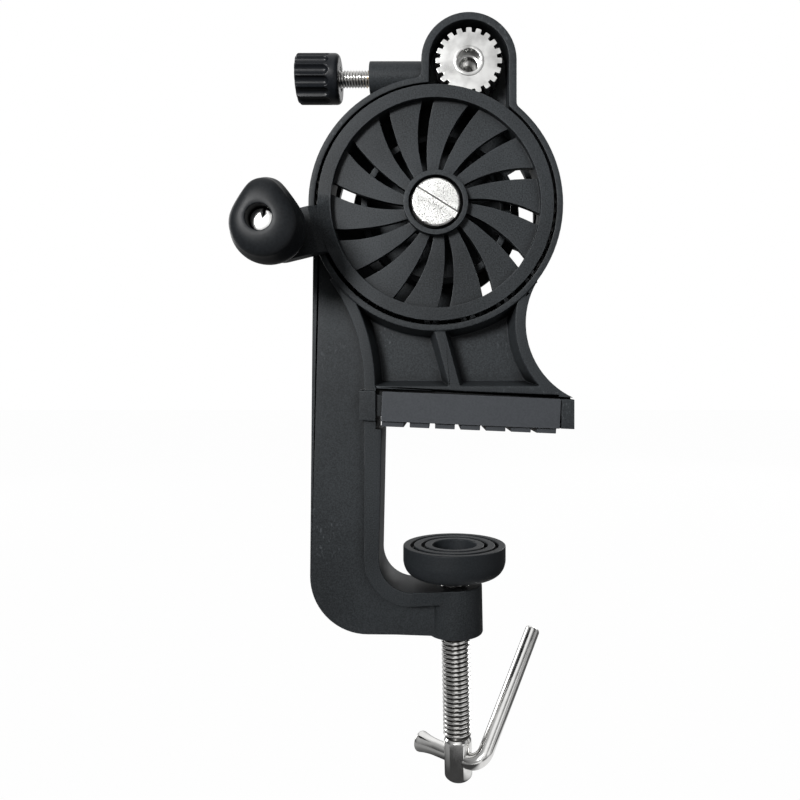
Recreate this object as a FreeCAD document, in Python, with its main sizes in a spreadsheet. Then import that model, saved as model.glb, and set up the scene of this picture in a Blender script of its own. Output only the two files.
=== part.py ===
import FreeCAD, Part
import math
import os
import Sketcher

# Clamp-on winder for fishing line. A geared crank wheel turns in the round pan of a C-shaped clamp
# frame and drives a small pinion, whose spindle carries the spool of line behind the frame.
# Millimetres. X runs to the right, Y away from the crank, Z up. The origin is on the clamp screw's
# axis, in the plane of the jaw's grip ribs.

document = FreeCAD.newDocument("line_winder")
sheet = document.addObject("Spreadsheet::Sheet", "sizes")
BACK = FreeCAD.Vector(0, 1, 0)
RIGHT = FreeCAD.Vector(1, 0, 0)
UP = FreeCAD.Vector(0, 0, 1)


class Size:
    """A length or angle that carries its value and the spreadsheet formula it comes from."""

    def __init__(self, value, formula):
        self.value = float(value)
        self.formula = formula

    def __add__(self, other):
        other = as_size(other)
        return Size(self.value + other.value, f"({self.formula} + {other.formula})")

    def __sub__(self, other):
        other = as_size(other)
        return Size(self.value - other.value, f"({self.formula} - {other.formula})")

    def __mul__(self, other):
        other = as_size(other)
        return Size(self.value * other.value, f"({self.formula} * {other.formula})")

    def __truediv__(self, other):
        other = as_size(other)
        return Size(self.value / other.value, f"({self.formula} / {other.formula})")

    def __neg__(self):
        return Size(-self.value, f"(0 - {self.formula})")

    def __float__(self):
        return self.value

    __radd__ = __add__
    __rmul__ = __mul__

    def __rsub__(self, other):
        return as_size(other) - self


def as_size(number):
    return number if isinstance(number, Size) else Size(number, repr(float(number)))


def cosine(angle):
    return Size(math.cos(math.radians(angle.value)), f"cos({angle.formula} * 1 deg)")


def sine(angle):
    return Size(math.sin(math.radians(angle.value)), f"sin({angle.formula} * 1 deg)")


def size(name, value, note):
    """Write one driving dimension into the spreadsheet and hand it back."""
    row = size.next_row
    size.next_row += 1
    sheet.set(f"A{row}", name.replace("_", " "))
    sheet.set(f"B{row}", str(value))
    sheet.set(f"C{row}", note)
    sheet.setAlias(f"B{row}", name)
    return Size(value, f"sizes.{name}")


size.next_row = 1

# Fits
running = size("running_clearance", 0.05, "radial clearance of a shaft in its bush")
play = size("axial_play", 0.2, "gap between faces that turn against each other")
air = size("moving_air", 0.6, "gap between a passing part and what it passes")

# Wheel and gears
gear_module = size("gear_module", 1.0, "module of both gears")
wheel_teeth = size("wheel_teeth", 77, "teeth on the crank wheel")
pinion_teeth = size("pinion_teeth", 20, "teeth on the pinion")
pressure_angle = size("pressure_angle", 14.5, "of both gears, in degrees")
tooth_extra = size("pinion_tooth_extra", 0.4, "the pinion's teeth are thicker by this, the wheel's thinner")
tooth_backlash = size("tooth_backlash", 0.16, "play between meshing teeth, on the pitch circle")
pinion_angle = size("pinion_angle", 77.0, "direction from the wheel to the pinion, from +X")
wheel_x = size("wheel_x", -5.4, "wheel axis, beside the clamp screw")
wheel_z = size("wheel_z", 74.2, "wheel axis, above the jaw")
ring_radius = size("ring_radius", 38.6, "outside of the wheel's front ring")
ring_bore = size("ring_bore_radius", 34.3, "inside of the wheel's front ring")
ring_front = size("ring_front", -13.0, "front face of the wheel's ring")
ring_thick = size("ring_thickness", 2.0, "flange in front of the wheel's teeth")
tooth_set_back = size("tooth_set_back", 2.0, "wheel's teeth behind that flange")
tooth_width = size("tooth_width", 6.4, "length of the wheel's teeth along the axle")
blade_recess = size("blade_recess", 2.6, "blades below the ring's front face")
blade_thick = size("blade_thickness", 2.6, "thickness of a blade")
blade_count = size("blade_count", 14, "swept blades in the wheel")
collar_radius = size("hub_collar_radius", 10.6, "outside of the hub's collar")
collar_bore = size("hub_recess_radius", 8.9, "recess in the hub round the bolt's head")
collar_proud = size("hub_collar_proud", 0.3, "collar in front of the ring")
recess_depth = size("hub_recess_depth", 3.8, "depth of the hub's recess")
shoulder_radius = size("bolt_shoulder_radius", 5.0, "journal that the wheel turns on")
bush_wall = size("bush_wall", 1.5, "wall of the wheel's sleeve")
bolt_head_radius = size("bolt_head_radius", 8.0, "slotted head")
bolt_head_proud = size("bolt_head_proud", 0.5, "bolt head in front of the hub's collar")
bolt_thread_radius = size("bolt_thread_radius", 4.0, "M8 end of the wheel's bolt")
slot_width = size("slot_width", 2.3, "slot of the wheel's bolt")
slot_depth = size("slot_depth", 1.5, "slot of the wheel's bolt")
slot_angle = size("slot_angle", 32.0, "slot of the wheel's bolt, below the horizontal")
nut_flats = size("bolt_nut_flats", 13.0, "M8 nut across its flats")
nut_thick = size("bolt_nut_thickness", 6.5, "M8 nut")
washer_thick = size("bolt_washer_thickness", 1.2, "washer under the M8 nut")
thrust_thick = size("thrust_washer_thickness", 0.8, "washer behind the wheel's hub")

# Frame
rim_radius = size("rim_radius", 41.9, "outside of the pan")
rim_wall = size("rim_wall", 2.1, "wall of the pan")
rim_front = size("rim_front", -11.5, "front edge of the pan and the tower")
frame_back = size("frame_back", 10.8, "back of the frame")
floor_thick = size("pan_floor_thickness", 3.0, "floor of the pan")
post_radius = size("post_radius", 9.0, "post in the pan that carries the bolt")
rib_ring_radius = size("rib_ring_radius", 24.5, "middle of the round rib in the pan")
rib_ring_width = size("rib_ring_width", 2.2, "round rib in the pan")
rib_ring_front = size("rib_ring_front", -2.5, "front of the round rib in the pan")
floor_step_front = size("floor_step_front", -1.0, "front of the raised part of the pan's floor")
window_inner = size("window_inner_radius", 29.6, "inner edge of the pan's windows")
window_outer = size("window_outer_radius", 34.8, "outer edge of the pan's windows")
tower_radius = size("tower_radius", 15.7, "outside of the tower round the pinion")
tower_wall = size("tower_wall", 2.6, "wall of the tower")
plate_front = size("plate_front", -6.0, "flat face of the arm")
tower_fillet = size("tower_fillet_radius", 2.2, "round corners between the tower and the pan")
rib_front = size("rib_front", -10.8, "front of the ribs and of the arm's inner flange")
core_front = size("core_front", -2.0, "bottom of the hollows in the frame's back")
arm_cores = size("arm_cores", 4, "hollows in the arm's back")
core_wall = size("core_wall", 3.2, "walls round and between those hollows")
arm_outer_top = size("arm_outer_top", -46.4, "outer edge of the arm beside the wheel")
arm_outer_low = size("arm_outer_low", -47.7, "outer edge of the arm at its lower corner")
throat_x = size("throat_x", -24.1, "inner face of the arm beside the horn")
throat_lean = size("throat_lean", 0.9, "the arm's inner face stands this much further in at the jaw")
flange_width = size("flange_width", 4.9, "flange along the throat")
horn_top = size("horn_top", -54.0, "top of the lower horn")
horn_bottom = size("horn_bottom", -69.4, "bottom of the lower horn")
horn_flange = size("horn_flange", 4.6, "flange along the horn's top")
horn_arch = size("horn_arch_radius", 4.4, "arch under the horn's flange, beside the boss")
outer_corner = size("outer_corner_radius", 19.5, "lower corner of the arm")
throat_corner = size("throat_corner_radius", 11.0, "corner between the arm and the horn")
boss_radius = size("screw_boss_radius", 9.4, "boss round the clamp screw")
boss_bottom = size("screw_boss_bottom", -70.4, "lower end of the boss")
rib_width = size("rib_width", 3.6, "ribs of the web")
right_arc_x = size("right_arc_x", 51.5, "centre of the web's hollow right edge")
right_arc_z = size("right_arc_z", 35.0, "centre of the web's hollow right edge")
right_arc = size("right_arc_radius", 27.2, "web's hollow right edge")
right_arc_head = size("right_arc_head", 150.0, "upper end of that edge, in degrees")
right_arc_foot = size("right_arc_foot", 245.0, "lower end of that edge, in degrees")
left_arc = size("left_arc_radius", 59.6, "rib between the arm and the web")
centre_rib_beside = size("centre_rib_beside", 4.4, "centre rib's foot, beside the wheel's axis")
centre_rib_lean = size("centre_rib_lean", 5.0, "slant of the centre rib over the web's height")
web_bottom = size("web_bottom", 14.2, "lower end of the web's hollows")
pocket_floor = size("pocket_floor", -2.5, "floor of the web's hollows")
pocket_draft = size("pocket_draft", 11.0, "slope of the hollows' walls, in degrees")
web_thick = size("web_thickness", 3.5, "web between the hollows in front and behind")

# Jaw
jaw_toe_in = size("jaw_toe_in", 2.4, "the jaw's far end hangs this much lower, in degrees")
grip_left = size("grip_left", -23.4, "near end of the grip cover")
grip_right = size("grip_right", 35.1, "far end of the grip cover")
grip_top = size("grip_top", 11.5, "top of the grip cover's front wall")
grip_sole = size("grip_sole", 1.7, "underside of the grip cover between its ribs")
grip_wall = size("grip_wall", 1.6, "wall of the grip cover")
grip_rib_count = size("grip_rib_count", 7, "ribs under the grip cover")
grip_rib_pitch = size("grip_rib_pitch", 8.33, "spacing of those ribs")
grip_first_rib = size("grip_first_rib", 1.05, "from the cover's near end to its first rib")
grip_rib_width = size("grip_rib_width", 6.5, "width of those ribs")
near_block_set_back = size("near_block_set_back", 0.4, "near block behind the grip cover's face")
far_block_set_back = size("far_block_set_back", 0.9, "far block behind the grip cover's face")
grip_gap = size("grip_gap", 1.7, "slot between the near block and the grip cover")
far_gap = size("far_gap", 0.6, "slot between the grip cover and the far block")
jaw_groove = size("jaw_groove_depth", 2.6, "groove between the web and the grip cover")
block_left = size("block_left", -30.6, "near end of the jaw")
block_right = size("block_right", 40.2, "far end of the jaw")

# Clamp screw
screw_lean = size("screw_lean", 1.15, "the clamp screw's top leans towards the arm, in degrees")
jaw_opening = size("jaw_opening", 40.3, "widest opening between the grip ribs and the pad")
screw_radius = size("screw_radius", 4.95, "M10 clamp screw")
thread_end = size("thread_end", -106.5, "lower end of the thread")
screw_end = size("screw_end", -120.8, "lower end of the clamp screw")
stem_radius = size("stem_radius", 3.6, "turned top of the clamp screw inside the pad")
pad_radius = size("pad_radius", 17.6, "clamp pad")
pad_height = size("pad_height", 10.8, "clamp pad")
pad_swivel = size("pad_swivel_clearance", 0.1, "lets the pad lie level on the leaning screw")
pad_end_play = size("pad_end_play", 0.25, "gap above and below the pad on the clamp screw")
pad_side = size("pad_side", 5.2, "upright part of the pad's side")
pad_foot = size("pad_foot_radius", 9.4, "underside of the pad")
pad_well = size("pad_well_radius", 7.7, "well in the middle of the pad")
pad_rim = size("pad_rim_width", 2.4, "outer ring on the pad's top")
pad_groove = size("pad_groove_width", 1.2, "grooves between the pad's rings")
well_depth = size("pad_well_depth", 7.0, "depth of that well")
groove_depth = size("pad_groove_depth", 2.2, "ring grooves in the pad's top")
insert_radius = size("clamp_insert_radius", 7.2, "outside of the threaded insert in the boss")
bar_radius = size("bar_radius", 2.65, "tommy bar")
bar_level = size("bar_level", -113.5, "cross hole for the tommy bar")
bar_plan_angle = size("bar_plan_angle", 40.0, "turn of the cross hole from the frame's plane")
bar_near = size("bar_near", 9.6, "from the screw's axis to the bar's bend")
bar_far = size("bar_far", 17.6, "from the screw's axis to the bar's flared end")
bar_arm = size("bar_arm", 50.0, "long leg of the bar")
bar_tilt = size("bar_tilt", 43.0, "long leg of the bar, from the upright")
bar_bend = size("bar_bend_radius", 3.4, "bend of the bar, at its middle line")
bar_flare = size("bar_flare_radius", 3.6, "flared end of the bar")
bar_taper = size("bar_taper_length", 8.0, "length of the bar's flare")

# Pinion, spindle and arbor
pinion_width = size("pinion_width", 8.0, "pinion along its axis")
spindle_radius = size("spindle_radius", 5.0, "spindle journals")
spindle_bore = size("spindle_bore_radius", 3.9, "bore in the spindle's front end")
bore_depth = size("spindle_bore_depth", 7.0, "depth of that bore")
spindle_bush_wall = size("spindle_bush_wall", 2.0, "wall of the spindle's bushes")
spindle_bush_length = size("spindle_bush_length", 3.0, "length of the spindle's bushes")
drum_radius = size("drum_radius", 6.0, "brake drum turned on the spindle")
bearing_radius = size("bearing_boss_radius", 10.5, "boss behind the tower")
bearing_back = size("bearing_boss_back", 14.0, "end of that boss")
arbor_radius = size("arbor_radius", 4.0, "spool arbor")
arbor_end = size("arbor_end", 84.0, "back end of the arbor")
arbor_tip = size("arbor_tip_radius", 3.2, "turned-down end of the arbor")
arbor_tip_length = size("arbor_tip_length", 7.0, "turned-down end of the arbor")
cone_radius = size("cone_radius", 11.0, "large end of the spool cones")
cone_tip = size("cone_tip_radius", 5.6, "small end of the spool cones")
cone_length = size("cone_length", 11.0, "length of a spool cone")
cone_gap = size("cone_gap", 26.0, "room for the spool's core between the cones")
wing_span = size("wing_span", 13.0, "reach of the wing nut's wings")

# Drag screw
drag_y = size("drag_y", 4.0, "drag screw's axis, between the spindle's bushes")
drag_travel = size("drag_travel", 4.0, "how far the brake shoe moves to reach the drum")
drag_screw_radius = size("drag_screw_radius", 2.95, "M6 drag screw")
drag_boss_radius = size("drag_boss_radius", 5.8, "boss round the drag screw")
drag_boss_end = size("drag_boss_end", -28.4, "open end of the drag boss")
drag_knob_end = size("drag_knob_end", -53.6, "outer end of the drag knob")
drag_knob_length = size("drag_knob_length", 15.0, "drag knob")
drag_knob_radius = size("drag_knob_radius", 8.4, "drag knob")
flute_count = size("flute_count", 14, "flutes round the drag knob")
flute_radius = size("flute_radius", 1.7, "one flute of the drag knob")
flute_length = size("flute_length", 10.0, "length of the flutes")
drag_insert_wall = size("drag_insert_wall", 1.4, "threaded insert in the drag boss")
drag_insert_length = size("drag_insert_length", 10.0, "threaded insert in the drag boss")
shoe_length = size("shoe_length", 4.0, "brake shoe")

# Crank and handle
handle_reach = size("handle_reach", 51.2, "from the wheel's axis to the handle's axis")
handle_angle = size("handle_angle", 193.7, "direction from the wheel to the handle, from +X")
lug_width = size("lug_width", 15.3, "crank lug")
lug_front = size("lug_front", -17.0, "front face of the crank lug")
lug_root = size("lug_root", 34.6, "inner end of the crank lug, from the wheel's axis")
knob_neck = size("knob_neck_radius", 7.6, "handle knob beside the lug")
knob_length = size("knob_length", 27.5, "handle knob")
knob_bore = size("knob_bore_radius", 3.9, "counterbore in the knob's end")
axle_radius = size("axle_radius", 2.4, "shoulder of the handle's axle")
axle_head_radius = size("axle_head_radius", 3.1, "head of the handle's axle")
axle_head_depth = size("axle_head_depth", 5.2, "axle head below the knob's end")
axle_thread_radius = size("axle_thread_radius", 2.0, "M4 end of the handle's axle")
axle_nut_flats = size("axle_nut_flats", 7.0, "thin M4 nut across its flats")
axle_nut_thick = size("axle_nut_thickness", 2.2, "thin M4 nut")
sleeve_wall = size("handle_sleeve_wall", 0.9, "sleeve in the handle knob")
handle_washer_thick = size("handle_washer_thickness", 0.6, "washer between the knob and the lug")
document.recompute()

# Levels and places that follow from the sizes
gear_distance = (wheel_teeth + pinion_teeth) * gear_module / 2
pinion_x = wheel_x + gear_distance * cosine(pinion_angle)
pinion_z = wheel_z + gear_distance * sine(pinion_angle)
ring_back = ring_front + ring_thick
tooth_front = ring_back + tooth_set_back
wheel_back = tooth_front + tooth_width
pan_floor = frame_back - floor_thick
pan_bore = rim_radius - rim_wall
collar_front = ring_front - collar_proud
hub_face = collar_front + recess_depth
post_front = wheel_back + play + thrust_thick
pinion_front = ring_back + play * 2
pinion_back = pinion_front + pinion_width
tower_floor = wheel_back + air
tower_bore = tower_radius - tower_wall
lug_back = rim_front - air
handle_x = wheel_x + handle_reach * cosine(handle_angle)
handle_z = wheel_z + handle_reach * sine(handle_angle)
pad_top = -jaw_opening
pad_bottom = pad_top - pad_height
knob_start = lug_front - handle_washer_thick - play
knob_end = knob_start - knob_length
spindle_housing = spindle_radius + running + spindle_bush_wall
grip_front = rib_front - grip_wall
grip_back = frame_back + grip_wall


# ---------------------------------------------------------------- helpers

def origin_plane(body, role):
    for feature in body.Origin.OriginFeatures:
        if feature.Role == role:
            return feature
    raise ValueError(role)


def new_body(name):
    body = document.addObject("PartDesign::Body", name)
    body.Label = name
    return body


def new_sketch(body, name, role, level=None):
    """A sketch on one of the body's own planes; level is measured along the plane's normal."""
    sketch = body.newObject("Sketcher::SketchObject", name)
    sketch.AttachmentSupport = [(origin_plane(body, role), "")]
    sketch.MapMode = "FlatFace"
    if level is not None:
        sketch.setExpression("AttachmentOffset.Base.z", as_size(level).formula)
    return sketch


def point(place):
    return FreeCAD.Vector(float(place[0]), float(place[1]), 0)


def bind_point(sketch, edge, end, place):
    """Tie one end of an edge to the spreadsheet through its two distances from the origin."""
    for kind, value in (("DistanceX", place[0]), ("DistanceY", place[1])):
        value = as_size(value)
        index = sketch.addConstraint(Sketcher.Constraint(kind, -1, 1, edge, end, value.value))
        if "sizes." in value.formula:
            sketch.setExpression(f"Constraints[{index}]", value.formula)


def draw_polygon(sketch, places):
    """A closed outline of straight runs, each corner tied to the spreadsheet."""
    first = len(sketch.Geometry)
    count = len(places)
    for index in range(count):
        start = point(places[index])
        finish = point(places[(index + 1) % count])
        sketch.addGeometry(Part.LineSegment(start, finish))
    for index in range(count):
        following = first + (index + 1) % count
        sketch.addConstraint(Sketcher.Constraint("Coincident", first + index, 2, following, 1))
        bind_point(sketch, first + index, 1, places[index])


def draw_outline(sketch, start, steps):
    """A closed outline; a step is (end,) for a straight run or (middle, end) for an arc."""
    here = point(start)
    for step in steps:
        there = point(step[-1])
        if len(step) == 1:
            sketch.addGeometry(Part.LineSegment(here, there))
        else:
            sketch.addGeometry(Part.Arc(here, point(step[0]), there))
        here = there


def draw_circle(sketch, centre, radius):
    radius = as_size(radius)
    edge = sketch.addGeometry(Part.Circle(point(centre), FreeCAD.Vector(0, 0, 1), radius.value))
    bind_point(sketch, edge, 3, centre)
    index = sketch.addConstraint(Sketcher.Constraint("Radius", edge, radius.value))
    if "sizes." in radius.formula:
        sketch.setExpression(f"Constraints[{index}]", radius.formula)


def on_circle(centre, radius, angle):
    """A plain point at an angle, in degrees, on a circle."""
    turn = math.radians(float(angle))
    return (float(centre[0]) + float(radius) * math.cos(turn),
            float(centre[1]) + float(radius) * math.sin(turn))


def arc_middle(centre, radius, first, last):
    """Middle of the shorter arc between two places on a circle."""
    x = (float(first[0]) + float(last[0])) / 2 - float(centre[0])
    z = (float(first[1]) + float(last[1])) / 2 - float(centre[1])
    reach = math.hypot(x, z)
    return (float(centre[0]) + x / reach * float(radius), float(centre[1]) + z / reach * float(radius))


def slab(body, name, front, back, draw):
    """Add material between two depths, seen from the front; draw fills the sketch."""
    sketch = new_sketch(body, f"{name}_outline", "XZ_Plane", -as_size(back))
    draw(sketch)
    pad = body.newObject("PartDesign::Pad", name)
    pad.Profile = sketch
    pad.setExpression("Length", (as_size(back) - front).formula)
    return pad


def carve(body, name, front, back, draw):
    """Take material away between two depths, seen from the front."""
    sketch = new_sketch(body, f"{name}_outline", "XZ_Plane", -as_size(front))
    draw(sketch)
    pocket = body.newObject("PartDesign::Pocket", name)
    pocket.Profile = sketch
    pocket.setExpression("Length", (as_size(back) - front).formula)
    return pocket


def polar_copies(body, name, feature, count, angle=360):
    """Repeat a feature round the body's own Y axis."""
    pattern = body.newObject("PartDesign::PolarPattern", name)
    pattern.Originals = [feature]
    pattern.Axis = (origin_plane(body, "Y_Axis"), [""])
    pattern.Angle = angle
    pattern.setExpression("Occurrences", as_size(count).formula)
    body.Tip = pattern
    return pattern


def turned(name, role, axis, corners):
    """A piece turned on a lathe: its half section is revolved round one of the sketch's axes."""
    body = new_body(name)
    sketch = new_sketch(body, f"{name}_section", role)
    draw_polygon(sketch, corners)
    revolution = body.newObject("PartDesign::Revolution", f"{name}_turning")
    revolution.Profile = sketch
    revolution.ReferenceAxis = (sketch, [axis])
    revolution.Angle = 360
    return body


def turned_y(name, corners):
    """Turned round Y; corners are (radius, depth)."""
    return turned(name, "XY_Plane", "V_Axis", corners)


def turned_z(name, corners):
    """Turned round Z; corners are (radius, height)."""
    return turned(name, "XZ_Plane", "V_Axis", corners)


def turned_x(name, corners):
    """Turned round X; corners are (distance along X, radius)."""
    return turned(name, "XZ_Plane", "H_Axis", corners)


def tube(inner, outer, start, finish):
    """Half section of a plain sleeve or washer."""
    return [(inner, start), (outer, start), (outer, finish), (inner, finish)]


def move_to(body, x=None, y=None, z=None):
    """Tie a body's place to the spreadsheet."""
    for key, value in (("x", x), ("y", y), ("z", z)):
        if value is not None:
            body.setExpression(f"Placement.Base.{key}", as_size(value).formula)


def lean(body, angle):
    """Turn a body about the frame's Y axis through the origin."""
    body.Placement = FreeCAD.Placement(FreeCAD.Vector(), FreeCAD.Rotation(BACK, float(angle)))
    body.setExpression("Placement.Rotation.Angle", f"{as_size(angle).formula} * 1 deg")


def hexagon(flats):
    """Corners of a hexagon across its flats, as plain places round the origin."""
    corner = as_size(flats) / (2 * math.cos(math.radians(30)))
    places = []
    for index in range(6):
        turn = math.radians(60 * index)
        places.append((corner * round(math.cos(turn), 9), corner * round(math.sin(turn), 9)))
    return places


def involute(base_radius, radius):
    """Angle, in radians, that an involute has turned through by the time it reaches radius."""
    pressure = math.acos(min(1.0, base_radius / radius))
    return math.tan(pressure) - pressure


def tooth_gap(teeth, centre_angle, wider):
    """Outline of a gap between two teeth, cut through the tip circle and this much wider than even."""
    pitch = teeth.value * gear_module.value / 2
    base = pitch * math.cos(math.radians(pressure_angle.value))
    tip = pitch + gear_module.value
    root = pitch - 1.25 * gear_module.value
    half_gap = math.pi / (2 * teeth.value) + (tooth_backlash.value + float(wider)) / (2 * pitch)
    over = tip + 0.5 * gear_module.value

    def flank(radius):
        widen = involute(base, max(radius, base)) - involute(base, pitch)
        return half_gap + widen

    low = max(base, root + 0.2 * gear_module.value)
    centre = (0, 0)
    middle = math.degrees(flank((low + over) / 2))
    foot = math.degrees(flank(low))
    mouth = math.degrees(flank(over))
    start = on_circle(centre, over, centre_angle + mouth)
    steps = [
        (on_circle(centre, over, centre_angle), on_circle(centre, over, centre_angle - mouth)),
        (on_circle(centre, (low + over) / 2, centre_angle - middle),
         on_circle(centre, low, centre_angle - foot)),
        (on_circle(centre, root, centre_angle - foot * 0.8),),
        (on_circle(centre, root, centre_angle), on_circle(centre, root, centre_angle + foot * 0.8)),
        (on_circle(centre, low, centre_angle + foot),),
        (on_circle(centre, (low + over) / 2, centre_angle + middle), start),
    ]
    return start, steps


def cut_teeth(body, name, teeth, first_angle, wider, front, back):
    """Cut the teeth of a gear, with one gap centred on first_angle."""
    start, steps = tooth_gap(teeth, first_angle, wider)
    gap = carve(body, f"{name}_gap", front, back, lambda sketch: draw_outline(sketch, start, steps))
    return polar_copies(body, f"{name}_gaps", gap, teeth)


# ---------------------------------------------------------------- clamp frame
# One moulding: C-shaped frame, pan for the wheel, tower for the pinion, web and jaw bar.

frame = new_body("clamp_frame")
wheel_centre = (wheel_x, wheel_z)
pinion_centre = (pinion_x, pinion_z)
left_arc_centre = (throat_x - flange_width - left_arc, web_bottom)
bar_right = block_right - 4.0
right_arc_centre = (right_arc_x, right_arc_z)


def draw_plate(sketch):
    """The C outline: up the arm's outer edge, over the web and jaw, round the throat to the boss."""
    corner = float(outer_corner)
    inner = float(throat_corner)
    left = float(arm_outer_low)
    bottom = float(horn_bottom)
    throat = float(throat_x)
    throat_head = float(throat_x + throat_lean)
    top = float(horn_top)
    step = float(grip_left - grip_gap)
    start = (float(arm_outer_top), float(wheel_z))
    right_top = on_circle(right_arc_centre, right_arc, right_arc_head)
    right_low = on_circle(right_arc_centre, right_arc, right_arc_foot)
    steps = [
        ((left, bottom + corner),),
        (on_circle((left + corner, bottom + corner), corner, 225), (left + corner, bottom)),
        ((0.0, bottom),),
        ((0.0, top),),
        ((throat + inner, top),),
        (on_circle((throat + inner, top + inner), inner, 225), (throat, top + inner)),
        ((throat_head, 0.0),),
        ((step, 0.0),),
        ((step, jaw_line(step)),),
        ((float(bar_right), jaw_line(bar_right)),),
        (right_low,),
        (on_circle(right_arc_centre, right_arc, 200), right_top),
        ((float(wheel_x), float(wheel_z)),),
        (start,),
    ]
    draw_outline(sketch, start, steps)


def jaw_line(x, above=None):
    """Height of the jaw bar's underside at a place along the toed-in jaw."""
    rise = float(grip_sole + grip_wall) if above is None else float(above)
    toe_in = math.radians(jaw_toe_in.value)
    return rise / math.cos(toe_in) - float(x) * math.tan(toe_in)


slab(frame, "plate", plate_front, frame_back, draw_plate)


def draw_throat_flange(sketch):
    """The raised flange that runs down the arm's inner edge, along the horn and into the boss."""
    arch = float(horn_arch)
    arch_left = -arch
    left = float(throat_x - flange_width)
    right = float(throat_x)
    inner = float(throat_corner)
    outer = inner + float(flange_width)
    top = float(horn_top)
    low = top - float(horn_flange)
    centre = (right + inner, top + inner)
    head = right + float(throat_lean)
    step = float(grip_left - grip_gap)
    start = (left, float(web_bottom))
    steps = [
        ((left, top + inner),),
        (on_circle(centre, outer, 225), (right + inner, low)),
        ((arch_left, low),),
        ((arch_left + arch * 0.72, low - arch * 0.29), (arch_left + arch, low - arch)),
        ((arch_left + arch, top),),
        ((right + inner, top),),
        (on_circle(centre, inner, 225), (right, top + inner)),
        ((head, 0.0),),
        ((step, 0.0),),
        ((step, float(web_bottom)),),
        (start,),
    ]
    draw_outline(sketch, start, steps)


slab(frame, "throat_flange", rib_front, frame_back, draw_throat_flange)


def draw_web(sketch):
    """The raised web between the pan and the jaw, with its two hollow edges."""
    start = on_circle(left_arc_centre, left_arc, 0)
    steps = [
        (on_circle(left_arc_centre, left_arc, 18), on_circle(left_arc_centre, left_arc, 36)),
        (wheel_centre,),
        (on_circle(right_arc_centre, right_arc, right_arc_head),),
        (on_circle(right_arc_centre, right_arc, 198),
         on_circle(right_arc_centre, right_arc, right_arc_foot)),
        (start,),
    ]
    draw_outline(sketch, start, steps)


slab(frame, "web", rib_front, frame_back, draw_web)
far_block_width = 4.6


def draw_jaw_bar(sketch):
    """The toed-in bar that the grip cover is pushed over."""
    left = float(throat_x - flange_width)
    right = float(block_right) - far_block_width
    foot = grip_sole + grip_wall
    start = (left, jaw_line(left, foot))
    steps = [
        ((right, jaw_line(right, foot)),),
        ((right, jaw_line(right, grip_top)),),
        ((left, float(web_bottom)),),
        (start,),
    ]
    draw_outline(sketch, start, steps)


slab(frame, "jaw_bar", rib_front, frame_back, draw_jaw_bar)


def draw_jaw_groove(sketch):
    """The groove along the jaw, under the web and just above the grip cover."""
    left = float(grip_left - grip_gap)
    right = float(grip_right)
    high = float(web_bottom) - 0.8
    start = (left, jaw_line(left, grip_top) - 1.0)
    steps = [
        ((right, jaw_line(right, grip_top) - 1.0),),
        ((right, jaw_line(right, grip_top) + 1.2),),
        ((left, high),),
        (start,),
    ]
    draw_outline(sketch, start, steps)


carve(frame, "jaw_groove", rib_front, rib_front + jaw_groove, draw_jaw_groove)


def draw_end_block(sketch, left, right):
    """One of the two blocks that keep the grip cover from sliding along the bar."""
    left = float(left)
    right = float(right)
    start = (left, jaw_line(left, grip_sole))
    steps = [
        ((right, jaw_line(right, grip_sole)),),
        ((right, jaw_line(right, grip_top)),),
        ((left, jaw_line(left, grip_top)),),
        (start,),
    ]
    draw_outline(sketch, start, steps)


slab(frame, "near_block", grip_front + near_block_set_back, frame_back,
     lambda sketch: draw_end_block(sketch, block_left, grip_left - grip_gap))
slab(frame, "far_block", grip_front + far_block_set_back, frame_back,
     lambda sketch: draw_end_block(sketch, grip_right + far_gap, block_right))

slab(frame, "pan", rim_front, frame_back, lambda sketch: draw_circle(sketch, wheel_centre, rim_radius))


tower_foot = wheel_z + rim_radius / 2


def draw_tower(sketch, radius, foot):
    """A round-topped slot from the pinion's axis down to a level."""
    x = pinion_x.value
    z = pinion_z.value
    reach = float(radius)
    foot = float(foot)
    start = (x - reach, foot)
    steps = [
        ((x + reach, foot),),
        ((x + reach, z),),
        ((x, z + reach), (x - reach, z)),
        (start,),
    ]
    draw_outline(sketch, start, steps)


slab(frame, "tower", rim_front, frame_back,
     lambda sketch: draw_tower(sketch, tower_radius, tower_foot))


def draw_tower_fillet(sketch, side):
    """A hollow corner between one side of the tower and the pan's rim."""
    fillet = float(tower_fillet)
    flank = float(pinion_x) + side * float(tower_radius)
    beside = flank + side * fillet - float(wheel_x)
    reach = float(rim_radius) + fillet
    rise = math.sqrt(reach ** 2 - beside ** 2)
    middle = (float(wheel_x) + beside, float(wheel_z) + rise)
    touch = (float(wheel_x) + beside * float(rim_radius) / reach,
             float(wheel_z) + rise * float(rim_radius) / reach)
    inside = flank - side
    start = (flank, middle[1])
    draw_outline(sketch, start, [
        (arc_middle(middle, fillet, start, touch), touch),
        ((inside, touch[1] - 1),),
        ((inside, middle[1]),),
        (start,),
    ])


for side_name, side in (("left", -1), ("right", 1)):
    slab(frame, f"{side_name}_tower_fillet", rim_front, frame_back,
         lambda sketch, side=side: draw_tower_fillet(sketch, side))
carve(frame, "pan_hollow", rim_front, pan_floor,
      lambda sketch: draw_circle(sketch, wheel_centre, pan_bore))
slab(frame, "bearing_block", tower_floor, bearing_back,
     lambda sketch: draw_circle(sketch, pinion_centre, bearing_radius))
carve(frame, "tower_hollow", rim_front, tower_floor,
      lambda sketch: draw_tower(sketch, tower_bore, tower_foot))
slab(frame, "post", post_front, frame_back,
     lambda sketch: draw_circle(sketch, wheel_centre, post_radius))


def draw_rib_ring(sketch):
    draw_circle(sketch, wheel_centre, rib_ring_radius + rib_ring_width / 2)
    draw_circle(sketch, wheel_centre, rib_ring_radius - rib_ring_width / 2)


slab(frame, "rib_ring", rib_ring_front, pan_floor + 1, draw_rib_ring)


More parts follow.
